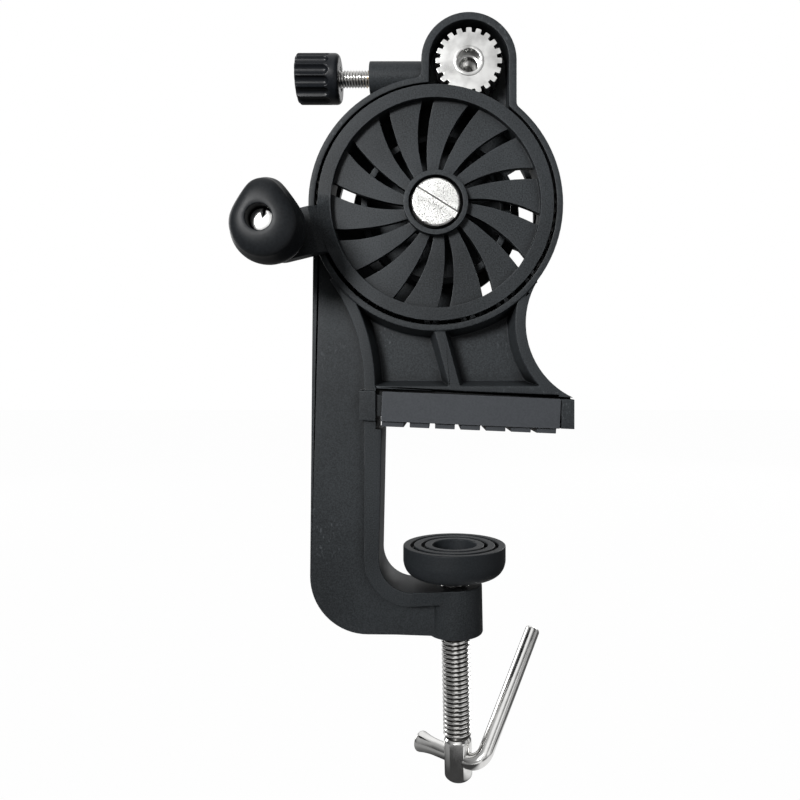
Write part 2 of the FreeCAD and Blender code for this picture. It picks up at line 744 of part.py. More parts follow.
def draw_sector(sketch, centre, inner, outer, low, high):
    """A window between two radii and two angles."""
    middle = (low + high) / 2
    start = on_circle(centre, inner, low)
    steps = [
        (on_circle(centre, outer, low),),
        (on_circle(centre, outer, middle), on_circle(centre, outer, high)),
        (on_circle(centre, inner, high),),
        (on_circle(centre, inner, middle), start),
    ]
    draw_outline(sketch, start, steps)


WINDOWS = ((-60, -48), (-36, -22), (-10, 31), (156, 182))
FLOOR_STEP = (214, 234)


def draw_windows(sketch):
    """Windows in the pan's floor, left and right of the web and the tower."""
    for low, high in WINDOWS:
        draw_sector(sketch, wheel_centre, window_inner, window_outer, low, high)


carve(frame, "windows", pan_floor - 1, frame_back + 1, draw_windows)
slab(frame, "floor_step", floor_step_front, pan_floor + 1,
     lambda sketch: draw_sector(sketch, wheel_centre, window_inner, pan_bore + 0.5, *FLOOR_STEP))


def circle_at_level(centre, radius, level, side):
    """Where a circle crosses a height, on its left (-1) or right (+1)."""
    rise = float(level) - float(centre[1])
    return (float(centre[0]) + side * math.sqrt(float(radius) ** 2 - rise ** 2), float(level))


def line_at_level(first, last, level):
    share = (float(level) - first[1]) / (last[1] - first[1])
    return (first[0] + share * (last[0] - first[0]), float(level))


def line_on_circle(first, last, centre, radius):
    """Where the run from first towards last enters a circle."""
    along = (last[0] - first[0], last[1] - first[1])
    length = math.hypot(*along)
    unit = (along[0] / length, along[1] / length)
    offset = (float(centre[0]) - first[0], float(centre[1]) - first[1])
    near = offset[0] * unit[0] + offset[1] * unit[1]
    beside = offset[0] * unit[1] - offset[1] * unit[0]
    reach = near - math.sqrt(float(radius) ** 2 - beside ** 2)
    return (first[0] + reach * unit[0], first[1] + reach * unit[1])


def circles_meet(first, first_radius, second, second_radius, side):
    """Where two circles cross, on one side of the line between their centres."""
    x = float(second[0]) - float(first[0])
    z = float(second[1]) - float(first[1])
    gap = math.hypot(x, z)
    near = (gap ** 2 + float(first_radius) ** 2 - float(second_radius) ** 2) / (2 * gap)
    rise = side * math.sqrt(float(first_radius) ** 2 - near ** 2)
    return (float(first[0]) + (near * x - rise * z) / gap, float(first[1]) + (near * z + rise * x) / gap)


centre_rib_left = wheel_x + centre_rib_beside


def pocket_corners(side, inset):
    """Corners and arc middles of one hollow of the web, drawn in by inset all round."""
    inset = float(inset)
    low = float(web_bottom) + inset
    pan_reach = float(rim_radius) + inset
    height = float(wheel_z - rim_radius - web_bottom)
    edge = float(centre_rib_left) + (0.0 if side < 0 else float(rib_width))
    foot = (edge + side * inset, float(web_bottom))
    head = (foot[0] - float(centre_rib_lean), foot[1] + height)
    inner_foot = line_at_level(foot, head, low)
    inner_head = line_on_circle(foot, head, wheel_centre, pan_reach)
    if side < 0:
        centre, radius = left_arc_centre, float(left_arc + rib_width) + inset
        outer_head = circles_meet(centre, radius, wheel_centre, pan_reach, -1)
    else:
        centre, radius = right_arc_centre, float(right_arc + rib_width) + inset
        outer_head = circles_meet(centre, radius, wheel_centre, pan_reach, 1)
    outer_foot = circle_at_level(centre, radius, low, -side)
    return outer_foot, [
        (inner_foot,),
        (inner_head,),
        (arc_middle(wheel_centre, pan_reach, inner_head, outer_head), outer_head),
        (arc_middle(centre, radius, outer_head, outer_foot), outer_foot),
    ]


def carve_pocket(name, side):
    """A hollow whose walls slope in towards its floor."""
    slope = (pocket_floor - rib_front) * math.tan(math.radians(pocket_draft.value))
    sections = []
    for suffix, level, inset in (("mouth", rib_front, 0), ("floor", pocket_floor, slope)):
        sketch = new_sketch(frame, f"{name}_{suffix}", "XZ_Plane", -level)
        draw_outline(sketch, *pocket_corners(side, inset))
        sections.append(sketch)
    loft = frame.newObject("PartDesign::SubtractiveLoft", name)
    loft.Profile = sections[0]
    loft.Sections = [sections[1]]
    loft.Ruled = True


for side_name, side in (("left", -1), ("right", 1)):
    carve_pocket(f"{side_name}_pocket", side)
    carve(frame, f"{side_name}_core", pocket_floor + web_thick, frame_back,
          lambda sketch, side=side: draw_outline(sketch, *pocket_corners(side, 0)))


def draw_arm_cores(sketch):
    """Hollows in the arm's back, with cross ribs left between them."""
    left = float(arm_outer_top + core_wall)
    right = float(throat_x - core_wall)
    low = float(horn_top)
    high = float(wheel_z - rim_radius)
    pitch = (high - low) / float(arm_cores)
    for index in range(int(arm_cores.value)):
        foot = low + index * pitch
        head = foot + pitch - float(core_wall)
        start = (left, foot)
        draw_outline(sketch, start, [((right, foot),), ((right, head),), ((left, head),), (start,)])


carve(frame, "arm_cores", core_front, frame_back, draw_arm_cores)
carve(frame, "bolt_hole", post_front, frame_back,
      lambda sketch: draw_circle(sketch, wheel_centre, bolt_thread_radius + running))
carve(frame, "spindle_hole", tower_floor, bearing_back,
      lambda sketch: draw_circle(sketch, pinion_centre, spindle_housing))
document.recompute()


def body_cylinder(body, name, kind, radius, length, place, direction):
    """A cylinder added to or cut from a body, from a place along a direction."""
    piece = body.newObject(f"PartDesign::{kind}Cylinder", name)
    piece.AttachmentSupport = [(origin_plane(body, "XY_Plane"), "")]
    piece.MapMode = "FlatFace"
    piece.AttachmentOffset = FreeCAD.Placement(FreeCAD.Vector(), FreeCAD.Rotation(UP, direction))
    for key, value in zip("xyz", place):
        piece.setExpression(f"AttachmentOffset.Base.{key}", as_size(value).formula)
    piece.setExpression("Radius", as_size(radius).formula)
    piece.setExpression("Height", as_size(length).formula)
    return piece


screw_up = FreeCAD.Rotation(BACK, -screw_lean.value).multVec(UP)


def on_screw_axis(level):
    """Place on the leaning screw axis at a distance along it from the origin."""
    return (-level * sine(screw_lean), 0.0, level * cosine(screw_lean))


insert_low = boss_bottom + 1.0
insert_high = horn_top - 2.0
body_cylinder(frame, "screw_boss", "Additive", boss_radius, horn_top - boss_bottom,
              on_screw_axis(boss_bottom), screw_up)
body_cylinder(frame, "screw_hole", "Subtractive", screw_radius + 0.25, horn_top - boss_bottom + 4,
              on_screw_axis(boss_bottom - 2), screw_up)
body_cylinder(frame, "insert_seat", "Subtractive", insert_radius, insert_high - insert_low,
              on_screw_axis(insert_low), screw_up)

drag_insert_radius = drag_screw_radius + running + drag_insert_wall
housing_side = pinion_x - spindle_housing
body_cylinder(frame, "drag_boss", "Additive", drag_boss_radius, housing_side - drag_boss_end - 1,
              (drag_boss_end, drag_y, pinion_z), RIGHT)
body_cylinder(frame, "drag_hole", "Subtractive", drag_screw_radius + running,
              pinion_x - drag_boss_end, (drag_boss_end, drag_y, pinion_z), RIGHT)
body_cylinder(frame, "drag_insert_seat", "Subtractive", drag_insert_radius, drag_insert_length,
              (drag_boss_end, drag_y, pinion_z), RIGHT)

# ---------------------------------------------------------------- jaw grip
# A smooth channel pushed over the jaw bar, with ribs that bite on the table's top.

jaw_grip = new_body("jaw_grip")


def draw_box(sketch, left, right, low, high):
    draw_polygon(sketch, [(left, low), (right, low), (right, high), (left, high)])


def draw_grip_ribs(sketch):
    first = grip_left + grip_first_rib
    for index in range(int(grip_rib_count.value)):
        left = first + grip_rib_pitch * index
        draw_box(sketch, left, left + grip_rib_width, 0, grip_sole)


slab(jaw_grip, "grip_channel", grip_front, grip_back,
     lambda sketch: draw_box(sketch, grip_left, grip_right, grip_sole, grip_top))
carve(jaw_grip, "bar_slot", rib_front, frame_back,
      lambda sketch: draw_box(sketch, grip_left - 1, grip_right + 1, grip_sole + grip_wall, grip_top + 1))
slab(jaw_grip, "grip_ribs", grip_front + 1, grip_back - 1, draw_grip_ribs)
lean(jaw_grip, jaw_toe_in)

# ---------------------------------------------------------------- crank wheel
# One moulding: flat front ring, swept blades, hub, toothed rim behind the ring, and the crank lug.

wheel = new_body("crank_wheel")
centre = (0, 0)
wheel_tip = (wheel_teeth + 2) * gear_module / 2
neck_radius = gear_distance - (pinion_teeth + 2) * gear_module / 2 - play * 2
bush_seat = shoulder_radius + running + bush_wall
handle_place = (handle_reach * cosine(handle_angle), handle_reach * sine(handle_angle))


def ring(inner, outer):
    """A sketch filler that draws two circles round the body's own axis."""
    def draw(sketch):
        draw_circle(sketch, centre, outer)
        draw_circle(sketch, centre, inner)
    return draw


def disc(radius):
    return lambda sketch: draw_circle(sketch, centre, radius)


def draw_blade(sketch):
    """One blade: both edges sweep clockwise as they run out, and the blade widens."""
    foot = float(collar_radius) - 1.0
    end = float(ring_bore) + 0.8
    left_foot = on_circle(centre, foot, 106)
    left_middle = (-2.75, (foot + end) / 2)
    left_end = on_circle(centre, end, 90.8)
    right_foot = on_circle(centre, foot, 86)
    right_middle = on_circle(centre, (foot + end) / 2, 79.5)
    right_end = on_circle(centre, end, 71.2)
    steps = [
        (left_middle, left_end),
        (on_circle(centre, end, 81), right_end),
        (right_middle, right_foot),
        (on_circle(centre, foot, 96), left_foot),
    ]
    draw_outline(sketch, left_foot, steps)


def draw_lug(sketch):
    """Crank lug: straight sides out to a round end on the handle's axis."""
    half = float(lug_width) / 2
    turn = math.radians(handle_angle.value)
    along = (math.cos(turn), math.sin(turn))
    across = (-math.sin(turn), math.cos(turn))

    def place(reach, side):
        return (along[0] * reach + across[0] * side, along[1] * reach + across[1] * side)

    root = float(lug_root)
    reach = float(handle_reach)
    start = place(root, -half)
    steps = [
        (place(reach, -half),),
        (place(reach + half, 0), place(reach, half)),
        (place(root, half),),
        (start,),
    ]
    draw_outline(sketch, start, steps)


def shifted(places, shift):
    return [(x + shift[0], z + shift[1]) for x, z in places]


slab(wheel, "front_ring", ring_front, ring_back, ring(ring_bore, ring_radius))
slab(wheel, "ring_neck", ring_back, tooth_front, ring(ring_bore, neck_radius))
slab(wheel, "gear_blank", tooth_front, wheel_back, ring(ring_bore, wheel_tip))
blade = slab(wheel, "blade", ring_front + blade_recess, ring_front + blade_recess + blade_thick,
             draw_blade)
document.recompute()
polar_copies(wheel, "blades", blade, blade_count)
slab(wheel, "hub", collar_front, wheel_back, disc(collar_radius))
slab(wheel, "lug", lug_front, lug_back, draw_lug)
carve(wheel, "hub_recess", collar_front, hub_face, disc(collar_bore))
carve(wheel, "hub_bore", hub_face, wheel_back, disc(bush_seat))
carve(wheel, "axle_hole", lug_front, lug_back,
      lambda sketch: draw_circle(sketch, handle_place, axle_thread_radius))
carve(wheel, "nut_seat", lug_back - axle_nut_thick, lug_back,
      lambda sketch: draw_polygon(sketch, shifted(hexagon(axle_nut_flats), handle_place)))
wheel_gap = pinion_angle + (pinion_angle + 90) * pinion_teeth / wheel_teeth
cut_teeth(wheel, "wheel_tooth", wheel_teeth, float(wheel_gap), tooth_extra, tooth_front, wheel_back)
move_to(wheel, x=wheel_x, z=wheel_z)

wheel_bush = turned_y("wheel_bush", tube(shoulder_radius + running, bush_seat, hub_face, wheel_back))
move_to(wheel_bush, x=wheel_x, z=wheel_z)

# ---------------------------------------------------------------- wheel bolt
# Slotted shoulder bolt through the hub and the pan's post, with a washer and nut behind.

nut_front = frame_back + washer_thick
bolt_head_front = collar_front - bolt_head_proud
bolt_end = nut_front + nut_thick + 1.5
wheel_bolt = turned_y("wheel_bolt", [
    (0, bolt_head_front),
    (bolt_head_radius - 0.5, bolt_head_front),
    (bolt_head_radius, bolt_head_front + 0.5),
    (bolt_head_radius, hub_face - play),
    (shoulder_radius, hub_face - play),
    (shoulder_radius, post_front),
    (bolt_thread_radius, post_front),
    (bolt_thread_radius, bolt_end - 0.8),
    (bolt_thread_radius - 0.8, bolt_end),
    (0, bolt_end),
])


def draw_slot(sketch, width, reach, angle):
    """A screwdriver slot across the middle of a head, angle below the horizontal."""
    half = float(width) / 2
    turn = -math.radians(float(angle))
    corners = []
    for along, side in ((-1, -1), (1, -1), (1, 1), (-1, 1)):
        x = along * float(reach)
        z = side * half
        corners.append((x * math.cos(turn) - z * math.sin(turn), x * math.sin(turn) + z * math.cos(turn)))
    draw_outline(sketch, corners[0], [(place,) for place in corners[1:] + corners[:1]])


carve(wheel_bolt, "driver_slot", bolt_head_front, bolt_head_front + slot_depth,
      lambda sketch: draw_slot(sketch, slot_width, bolt_head_radius + 1, slot_angle))
move_to(wheel_bolt, x=wheel_x, z=wheel_z)

thrust_washer = turned_y("thrust_washer", tube(shoulder_radius + running, post_radius,
                                               post_front - thrust_thick, post_front))
wheel_bolt_washer = turned_y("wheel_bolt_washer", tube(bolt_thread_radius + running, 8.0,
                                                       frame_back, nut_front))
wheel_bolt_nut = new_body("wheel_bolt_nut")
slab(wheel_bolt_nut, "nut", nut_front, nut_front + nut_thick,
     lambda sketch: draw_polygon(sketch, hexagon(nut_flats)))
carve(wheel_bolt_nut, "nut_thread", nut_front, nut_front + nut_thick, disc(bolt_thread_radius))
for piece in (thrust_washer, wheel_bolt_washer, wheel_bolt_nut):
    move_to(piece, x=wheel_x, z=wheel_z)

# ---------------------------------------------------------------- crank handle
# Egg-shaped knob that turns on a shoulder screw, fixed in the lug by a thin nut.

sleeve_inner = axle_radius + running
sleeve_outer = sleeve_inner + sleeve_wall
head_back = knob_end + axle_head_depth + 3.0
knob_seat = head_back + play
handle_knob = new_body("handle_knob")

# Stations along the knob: distance from the lug's end, then the round belly and the round crown
# of its egg-shaped section, each as (across, up, radius).
KNOB_STATIONS = (
    (0.0, (0.2, -0.2, 7.3), (0.1, 0.9, 6.7)),
    (9.0, (0.6, -0.7, 9.2), (0.4, 3.2, 6.8)),
    (19.0, (0.8, -1.2, 11.1), (0.6, 6.4, 6.8)),
    (24.6, (0.7, -1.0, 9.9), (0.5, 5.6, 6.2)),
    (27.5, (0.6, -0.7, 7.3), (0.4, 3.9, 5.0)),
)


def draw_egg(sketch, belly, crown):
    """An egg-shaped section: two circles joined by the straight runs that touch both."""
    across = crown[0] - belly[0]
    up = crown[1] - belly[1]
    reach = math.hypot(across, up)
    heading = math.degrees(math.atan2(up, across))
    spread = math.degrees(math.acos((belly[2] - crown[2]) / reach))
    crown_right = on_circle(crown[:2], crown[2], heading - spread)
    crown_left = on_circle(crown[:2], crown[2], heading + spread)
    belly_right = on_circle(belly[:2], belly[2], heading - spread)
    belly_left = on_circle(belly[:2], belly[2], heading + spread)
    draw_outline(sketch, belly_right, [
        (crown_right,),
        (on_circle(crown[:2], crown[2], heading), crown_left),
        (belly_left,),
        (on_circle(belly[:2], belly[2], heading + 180), belly_right),
    ])


knob_sections = []
for number, (along, belly, crown) in enumerate(KNOB_STATIONS):
    section = new_sketch(handle_knob, f"knob_section_{number}", "XZ_Plane", along - knob_start)
    draw_egg(section, belly, crown)
    knob_sections.append(section)
knob_loft = handle_knob.newObject("PartDesign::AdditiveLoft", "knob_loft")
knob_loft.Profile = knob_sections[0]
knob_loft.Sections = knob_sections[1:]
document.recompute()
carve(handle_knob, "knob_counterbore", knob_end, knob_seat, disc(knob_bore))
carve(handle_knob, "knob_sleeve_seat", knob_seat, knob_start, disc(sleeve_outer))
handle_sleeve = turned_y("handle_sleeve", tube(sleeve_inner, sleeve_outer, knob_seat, knob_start))
handle_washer = turned_y("handle_washer", tube(axle_radius + running, knob_neck - 0.8,
                                               lug_front - handle_washer_thick, lug_front))
axle_head_front = knob_end + axle_head_depth
handle_axle = turned_y("handle_axle", [
    (0, axle_head_front),
    (axle_head_radius - 0.4, axle_head_front),
    (axle_head_radius, axle_head_front + 0.4),
    (axle_head_radius, head_back),
    (axle_radius, head_back),
    (axle_radius, lug_front),
    (axle_thread_radius, lug_front),
    (axle_thread_radius, lug_back),
    (0, lug_back),
])
carve(handle_axle, "axle_slot", axle_head_front, axle_head_front + 1.2,
      lambda sketch: draw_slot(sketch, 1.2, axle_head_radius + 1, -58))
handle_nut = new_body("handle_nut")
slab(handle_nut, "thin_nut", lug_back - axle_nut_thick, lug_back,
     lambda sketch: draw_polygon(sketch, hexagon(axle_nut_flats)))
carve(handle_nut, "thin_nut_thread", lug_back - axle_nut_thick, lug_back, disc(axle_thread_radius))
for piece in (handle_knob, handle_sleeve, handle_washer, handle_axle, handle_nut):
    move_to(piece, x=handle_x, z=handle_z)

# ---------------------------------------------------------------- pinion, spindle and spool arbor
# The pinion sits on the hollow end of a spindle that runs in two bushes through the tower.

pinion_tip = (pinion_teeth + 2) * gear_module / 2
spindle_front = pinion_front - 0.3
front_bush_back = tower_floor + spindle_bush_length
rear_bush_front = bearing_back - spindle_bush_length
collar_start = bearing_back + play
collar_end = collar_start + 4.0
cone_start = collar_end + play
cone_finish = cone_start + cone_length
loose_start = cone_finish + cone_gap
loose_finish = loose_start + cone_length
key_width = 2.0
key_front = pinion_front + 2.4

pinion = new_body("pinion_gear")
slab(pinion, "pinion_blank", pinion_front, pinion_back, disc(pinion_tip))
carve(pinion, "pinion_bore", pinion_front, pinion_back, disc(spindle_radius))
pinion_tooth_turn = 180 / float(pinion_teeth)
cut_teeth(pinion, "pinion_tooth", pinion_teeth, 90 + pinion_tooth_turn, -tooth_extra,
          pinion_front, pinion_back)


def draw_key(sketch):
    draw_box(sketch, -key_width / 2, key_width / 2, spindle_radius - 1, spindle_radius + 1)


carve(pinion, "pinion_keyway", key_front, pinion_back, draw_key)
spindle = turned_y("spindle", [
    (spindle_bore, spindle_front),
    (spindle_radius, spindle_front),
    (spindle_radius, front_bush_back + play),
    (drum_radius, front_bush_back + play),
    (drum_radius, rear_bush_front - play),
    (spindle_radius, rear_bush_front - play),
    (spindle_radius, collar_end),
    (arbor_radius, collar_end),
    (arbor_radius, arbor_end - arbor_tip_length),
    (arbor_tip, arbor_end - arbor_tip_length),
    (arbor_tip, arbor_end - 0.5),
    (arbor_tip - 0.5, arbor_end),
    (0, arbor_end),
    (0, spindle_front + bore_depth + 7),
    (1.5, spindle_front + bore_depth + 7),
    (1.5, spindle_front + bore_depth + 1),
    (spindle_bore - 0.8, spindle_front + bore_depth),
    (spindle_bore - 0.8, spindle_front + bore_depth - 2.4),
    (spindle_bore, spindle_front + bore_depth - 2.4),
])
document.recompute()
carve(spindle, "spindle_keyway", key_front, pinion_back, draw_key)
pinion_key = new_body("pinion_key")
slab(pinion_key, "key", key_front, pinion_back, draw_key)
spindle_washer = turned_y("spindle_washer", tube(spindle_radius, 8.0, pinion_back, tower_floor - 0.1))
front_bush = turned_y("spindle_front_bush", tube(spindle_radius + running, spindle_housing,
                                                 tower_floor, front_bush_back))
rear_bush = turned_y("spindle_rear_bush", tube(spindle_radius + running, spindle_housing,
                                               rear_bush_front, bearing_back))
spindle_collar = turned_y("spindle_collar", tube(spindle_radius, 8.8, collar_start, collar_end))
collar_middle = (collar_start + collar_end) / 2
document.recompute()
body_cylinder(spindle_collar, "set_screw_hole", "Subtractive", 1.5, 6,
              (0, collar_middle, spindle_radius - 1), UP)
collar_screw = turned_z("collar_screw", [(0, spindle_radius), (1.5, spindle_radius), (1.5, 8.4), (0, 8.4)])
drive_cone = turned_y("drive_cone", [
    (arbor_radius, cone_start),
    (cone_radius, cone_start),
    (cone_radius, cone_start + 2),
    (cone_tip, cone_finish),
    (arbor_radius, cone_finish),
])
loose_cone = turned_y("loose_cone", [
    (arbor_radius + running, loose_start),
    (cone_tip, loose_start),
    (cone_radius, loose_finish - 2),
    (cone_radius, loose_finish),
    (arbor_radius + running, loose_finish),
])
wing_front = loose_finish + play
spool_nut = turned_y("spool_nut", tube(arbor_radius + running, 7.0, wing_front, wing_front + 7))


def draw_wings(sketch):
    """Two flat wings, one each side of the nut's barrel."""
    draw_box(sketch, -wing_span, -6.0, -1.4, 1.4)
    draw_box(sketch, 6.0, wing_span, -1.4, 1.4)


slab(spool_nut, "wings", wing_front + 1, wing_front + 9, draw_wings)
for piece in (pinion, spindle, pinion_key, spindle_washer, front_bush, rear_bush, spindle_collar,
              drive_cone, loose_cone, spool_nut):
    move_to(piece, x=pinion_x, z=pinion_z)
move_to(collar_screw, x=pinion_x, y=collar_middle, z=pinion_z)

# ---------------------------------------------------------------- drag screw
# Thumb screw that pushes a soft shoe sideways against the drum on the spindle.

shoe_tip = pinion_x - drum_radius - drag_travel - 0.06
shoe_back = shoe_tip - shoe_length
knob_inner = drag_knob_end + drag_knob_length
screw_tail = drag_knob_end + 4.0
brake_shoe = turned_x("brake_shoe", [(shoe_back, 0), (shoe_tip, 0), (shoe_tip, drag_screw_radius - 0.05),
                                     (shoe_back, drag_screw_radius - 0.05)])
drag_screw = turned_x("drag_screw", [(screw_tail, 0), (shoe_back - 0.05, 0),
                                     (shoe_back - 0.05, drag_screw_radius), (screw_tail, drag_screw_radius)])
drag_insert = turned_x("drag_insert", [
    (drag_boss_end, drag_screw_radius + running),
    (drag_boss_end + drag_insert_length, drag_screw_radius + running),
    (drag_boss_end + drag_insert_length, drag_insert_radius),
    (drag_boss_end, drag_insert_radius),
])
drag_knob = turned_x("drag_knob", [
    (drag_knob_end, 0),
    (screw_tail, 0),
    (screw_tail, drag_screw_radius),
    (knob_inner, drag_screw_radius),
    (knob_inner, drag_knob_radius - 1.2),
    (knob_inner - 1.2, drag_knob_radius),
    (drag_knob_end + 1.0, drag_knob_radius),
    (drag_knob_end, drag_knob_radius - 1.0),
])
flute_sketch = new_sketch(drag_knob, "flute_outline", "YZ_Plane", drag_knob_end + flute_length)
draw_circle(flute_sketch, (0, drag_knob_radius + 0.5), flute_radius)
flute = drag_knob.newObject("PartDesign::Pocket", "flute")
flute.Profile = flute_sketch
flute.setExpression("Length", (flute_length + 1).formula)
flutes = drag_knob.newObject("PartDesign::PolarPattern", "flutes")
flutes.Originals = [flute]
flutes.Axis = (origin_plane(drag_knob, "X_Axis"), [""])
flutes.Angle = 360
flutes.setExpression("Occurrences", flute_count.formula)
drag_knob.Tip = flutes
for piece in (brake_shoe, drag_screw, drag_insert, drag_knob):
    move_to(piece, y=drag_y, z=pinion_z)

# ---------------------------------------------------------------- clamp screw, pad and bar

clamp_insert = turned_z("clamp_insert", tube(screw_radius + running, insert_radius, insert_low, insert_high))
washer_top = pad_bottom - pad_end_play
screw_top = washer_top - 0.8
stem_top = pad_top - well_depth + 1.6
clamp_screw = turned_z("clamp_screw", [
    (0, stem_top),
    (stem_radius, stem_top),
    (stem_radius, screw_top),
    (screw_radius, screw_top),
    (screw_radius, thread_end),
    (screw_radius - 0.2, thread_end),
    (screw_radius - 0.2, screw_end + 1.2),
    (screw_radius - 1.4, screw_end),
    (0, screw_end),
])
plan = math.radians(bar_plan_angle.value)
bar_direction = FreeCAD.Vector(math.cos(plan), -math.sin(plan), 0)
document.recompute()
body_cylinder(clamp_screw, "bar_hole", "Subtractive", bar_radius + running, 16,
              (-8 * bar_direction.x, -8 * bar_direction.y, bar_level), bar_direction)
clamp_pad = new_body("clamp_pad")
pad_sketch = new_sketch(clamp_pad, "pad_section", "XZ_Plane")


def draw_pad(sketch):
    """Half section of the pad: round bowl below, three flat rings and a well above."""
    top = float(pad_top)
    low = float(pad_bottom)
    side = top - float(pad_side)
    floor = top - float(groove_depth)
    bore = float(stem_radius + pad_swivel)
    outer = float(pad_radius)
    rim = outer - float(pad_rim)
    well = float(pad_well)
    step = (rim - well - 2 * float(pad_groove)) / 2
    first_ring = rim - float(pad_groove)
    second_ring = first_ring - step - float(pad_groove)
    foot = float(pad_foot)
    bend = ((foot + outer) / 2 + 1.7, (low + side) / 2 - 1.7)
    well_floor = top - float(well_depth)
    start = (bore, low)
    steps = [
        ((foot, low),),
        (bend, (outer, side)),
        ((outer, top),),
        ((rim, top),),
        ((rim, floor),),
        ((first_ring, floor),),
        ((first_ring, top),),
        ((first_ring - step, top),),
        ((first_ring - step, floor),),
        ((second_ring, floor),),
        ((second_ring, top),),
        ((well, top),),
        ((well, well_floor),),
        ((bore, well_floor),),
        (start,),
    ]
    draw_outline(sketch, start, steps)


draw_pad(pad_sketch)
pad_turning = clamp_pad.newObject("PartDesign::Revolution", "pad_turning")
pad_turning.Profile = pad_sketch
pad_turning.ReferenceAxis = (pad_sketch, ["V_Axis"])
pad_turning.Angle = 360
pad_washer = turned_z("pad_washer", tube(stem_radius + running, 7.0, screw_top, washer_top))
ring_low = pad_top - well_depth + pad_end_play
pad_ring = turned_z("pad_ring", tube(stem_radius, 5.8, ring_low, ring_low + 0.9))
for piece in (clamp_insert, clamp_screw, pad_washer, pad_ring):
    lean(piece, -screw_lean)
pad_middle = (pad_bottom + pad_top - well_depth) / 2
move_to(clamp_pad, x=-pad_middle * sine(screw_lean))

tommy_bar = new_body("tommy_bar")
bar_spine = new_sketch(tommy_bar, "bar_spine", "XZ_Plane")


def draw_bar_spine(sketch):
    """Middle line of the bar: short leg through the screw, bend, long leg."""
    near = float(bar_near)
    bend = float(bar_bend)
    inner = bend * (1 - math.cos(math.radians(45)))
    places = [(-float(bar_far), 0.0), (near - bend, 0.0), (near, bend), (near, float(bar_arm))]
    sketch.addGeometry(Part.LineSegment(point(places[0]), point(places[1])))
    sketch.addGeometry(Part.Arc(point(places[1]), point((near - inner, inner)), point(places[2])))
    sketch.addGeometry(Part.LineSegment(point(places[2]), point(places[3])))


draw_bar_spine(bar_spine)
bar_section = new_sketch(tommy_bar, "bar_section", "YZ_Plane", -bar_far)
draw_circle(bar_section, centre, bar_radius)
bar_pipe = tommy_bar.newObject("PartDesign::AdditivePipe", "bar_pipe")
bar_pipe.Profile = bar_section
bar_pipe.Spine = (bar_spine, [])
flare_sketch = new_sketch(tommy_bar, "flare_section", "XZ_Plane")
draw_polygon(flare_sketch, [(-bar_far, 0), (-bar_far + bar_taper, 0), (-bar_far + bar_taper, bar_radius),
                            (-bar_far, bar_flare)])
flare = tommy_bar.newObject("PartDesign::Revolution", "flare")
flare.Profile = flare_sketch
flare.ReferenceAxis = (flare_sketch, ["H_Axis"])
flare.Angle = 360
tilt = math.radians(bar_tilt.value)
bar_side = FreeCAD.Vector(math.sin(plan), math.cos(plan), 0)
bar_leg = UP * math.cos(tilt) + bar_side * math.sin(tilt)
screw_turn = FreeCAD.Rotation(BACK, -screw_lean.value)
bar_turn = FreeCAD.Rotation(bar_direction, bar_leg.cross(bar_direction), bar_leg, "ZXY")
tommy_bar.Placement = FreeCAD.Placement(FreeCAD.Vector(), screw_turn.multiply(bar_turn))
move_to(tommy_bar, *on_screw_axis(bar_level))

# ---------------------------------------------------------------- check and write

document.recompute()
for item in document.Objects:
    if "Invalid" in item.State or "Error" in item.State:
        raise RuntimeError(f"{item.Label} failed: {item.State}")
os.makedirs("parts", exist_ok=True)
for item in document.Objects:
    if item.TypeId != "PartDesign::Body":
        continue
    if item.Shape.isNull() or not item.Shape.isValid():
        raise RuntimeError(f"{item.Label} has no valid shape")
    item.Shape.exportStep(f"parts/{item.Label}.step")
    print(item.Label, len(item.Shape.Solids), round(item.Shape.Volume, 1))
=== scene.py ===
import math
import bmesh
import bpy
from mathutils import Matrix, Vector


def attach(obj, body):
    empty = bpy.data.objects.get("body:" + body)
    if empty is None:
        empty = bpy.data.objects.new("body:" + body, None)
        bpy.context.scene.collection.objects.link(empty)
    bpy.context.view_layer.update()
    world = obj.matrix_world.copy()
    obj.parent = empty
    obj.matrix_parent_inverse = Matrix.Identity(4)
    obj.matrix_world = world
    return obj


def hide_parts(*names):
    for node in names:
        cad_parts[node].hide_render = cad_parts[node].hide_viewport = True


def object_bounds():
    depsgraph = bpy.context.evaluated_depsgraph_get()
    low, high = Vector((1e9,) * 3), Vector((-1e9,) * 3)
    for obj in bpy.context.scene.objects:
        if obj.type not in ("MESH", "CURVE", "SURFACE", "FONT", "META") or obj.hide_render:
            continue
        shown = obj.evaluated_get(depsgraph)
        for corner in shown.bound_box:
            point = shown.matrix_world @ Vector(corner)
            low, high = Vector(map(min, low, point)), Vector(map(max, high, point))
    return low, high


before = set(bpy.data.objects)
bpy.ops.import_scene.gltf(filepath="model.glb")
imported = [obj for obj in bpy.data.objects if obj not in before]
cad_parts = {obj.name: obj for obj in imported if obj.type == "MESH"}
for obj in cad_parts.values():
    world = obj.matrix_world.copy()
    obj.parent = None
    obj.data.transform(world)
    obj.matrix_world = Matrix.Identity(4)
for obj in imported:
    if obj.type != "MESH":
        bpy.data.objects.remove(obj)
cad_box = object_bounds()
scene = bpy.context.scene
scene.view_settings.view_transform = "Standard"

# ---------------------------------------------------------------- studio
# A plain white room with a pale floor, and a level camera square to the crank wheel. A small soft lamp
# stands in front on the left, a weaker one in front on the right, and two stand behind the winder.

# The camera looks level, and its square film of 800 pixels is shifted until the line of sight crosses
# it at EYE_LINE.
FOCAL_PIXELS = 705.0
FRAME_PIXELS = 800.0
EYE_LINE = (437.0, 380.0)
FILM_WIDTH = 36.0
CAMERA_PLACE = (-0.005, -0.2428, 0.0162)
WINDER_MIDDLE = (0.0, 0.0, 0.03)

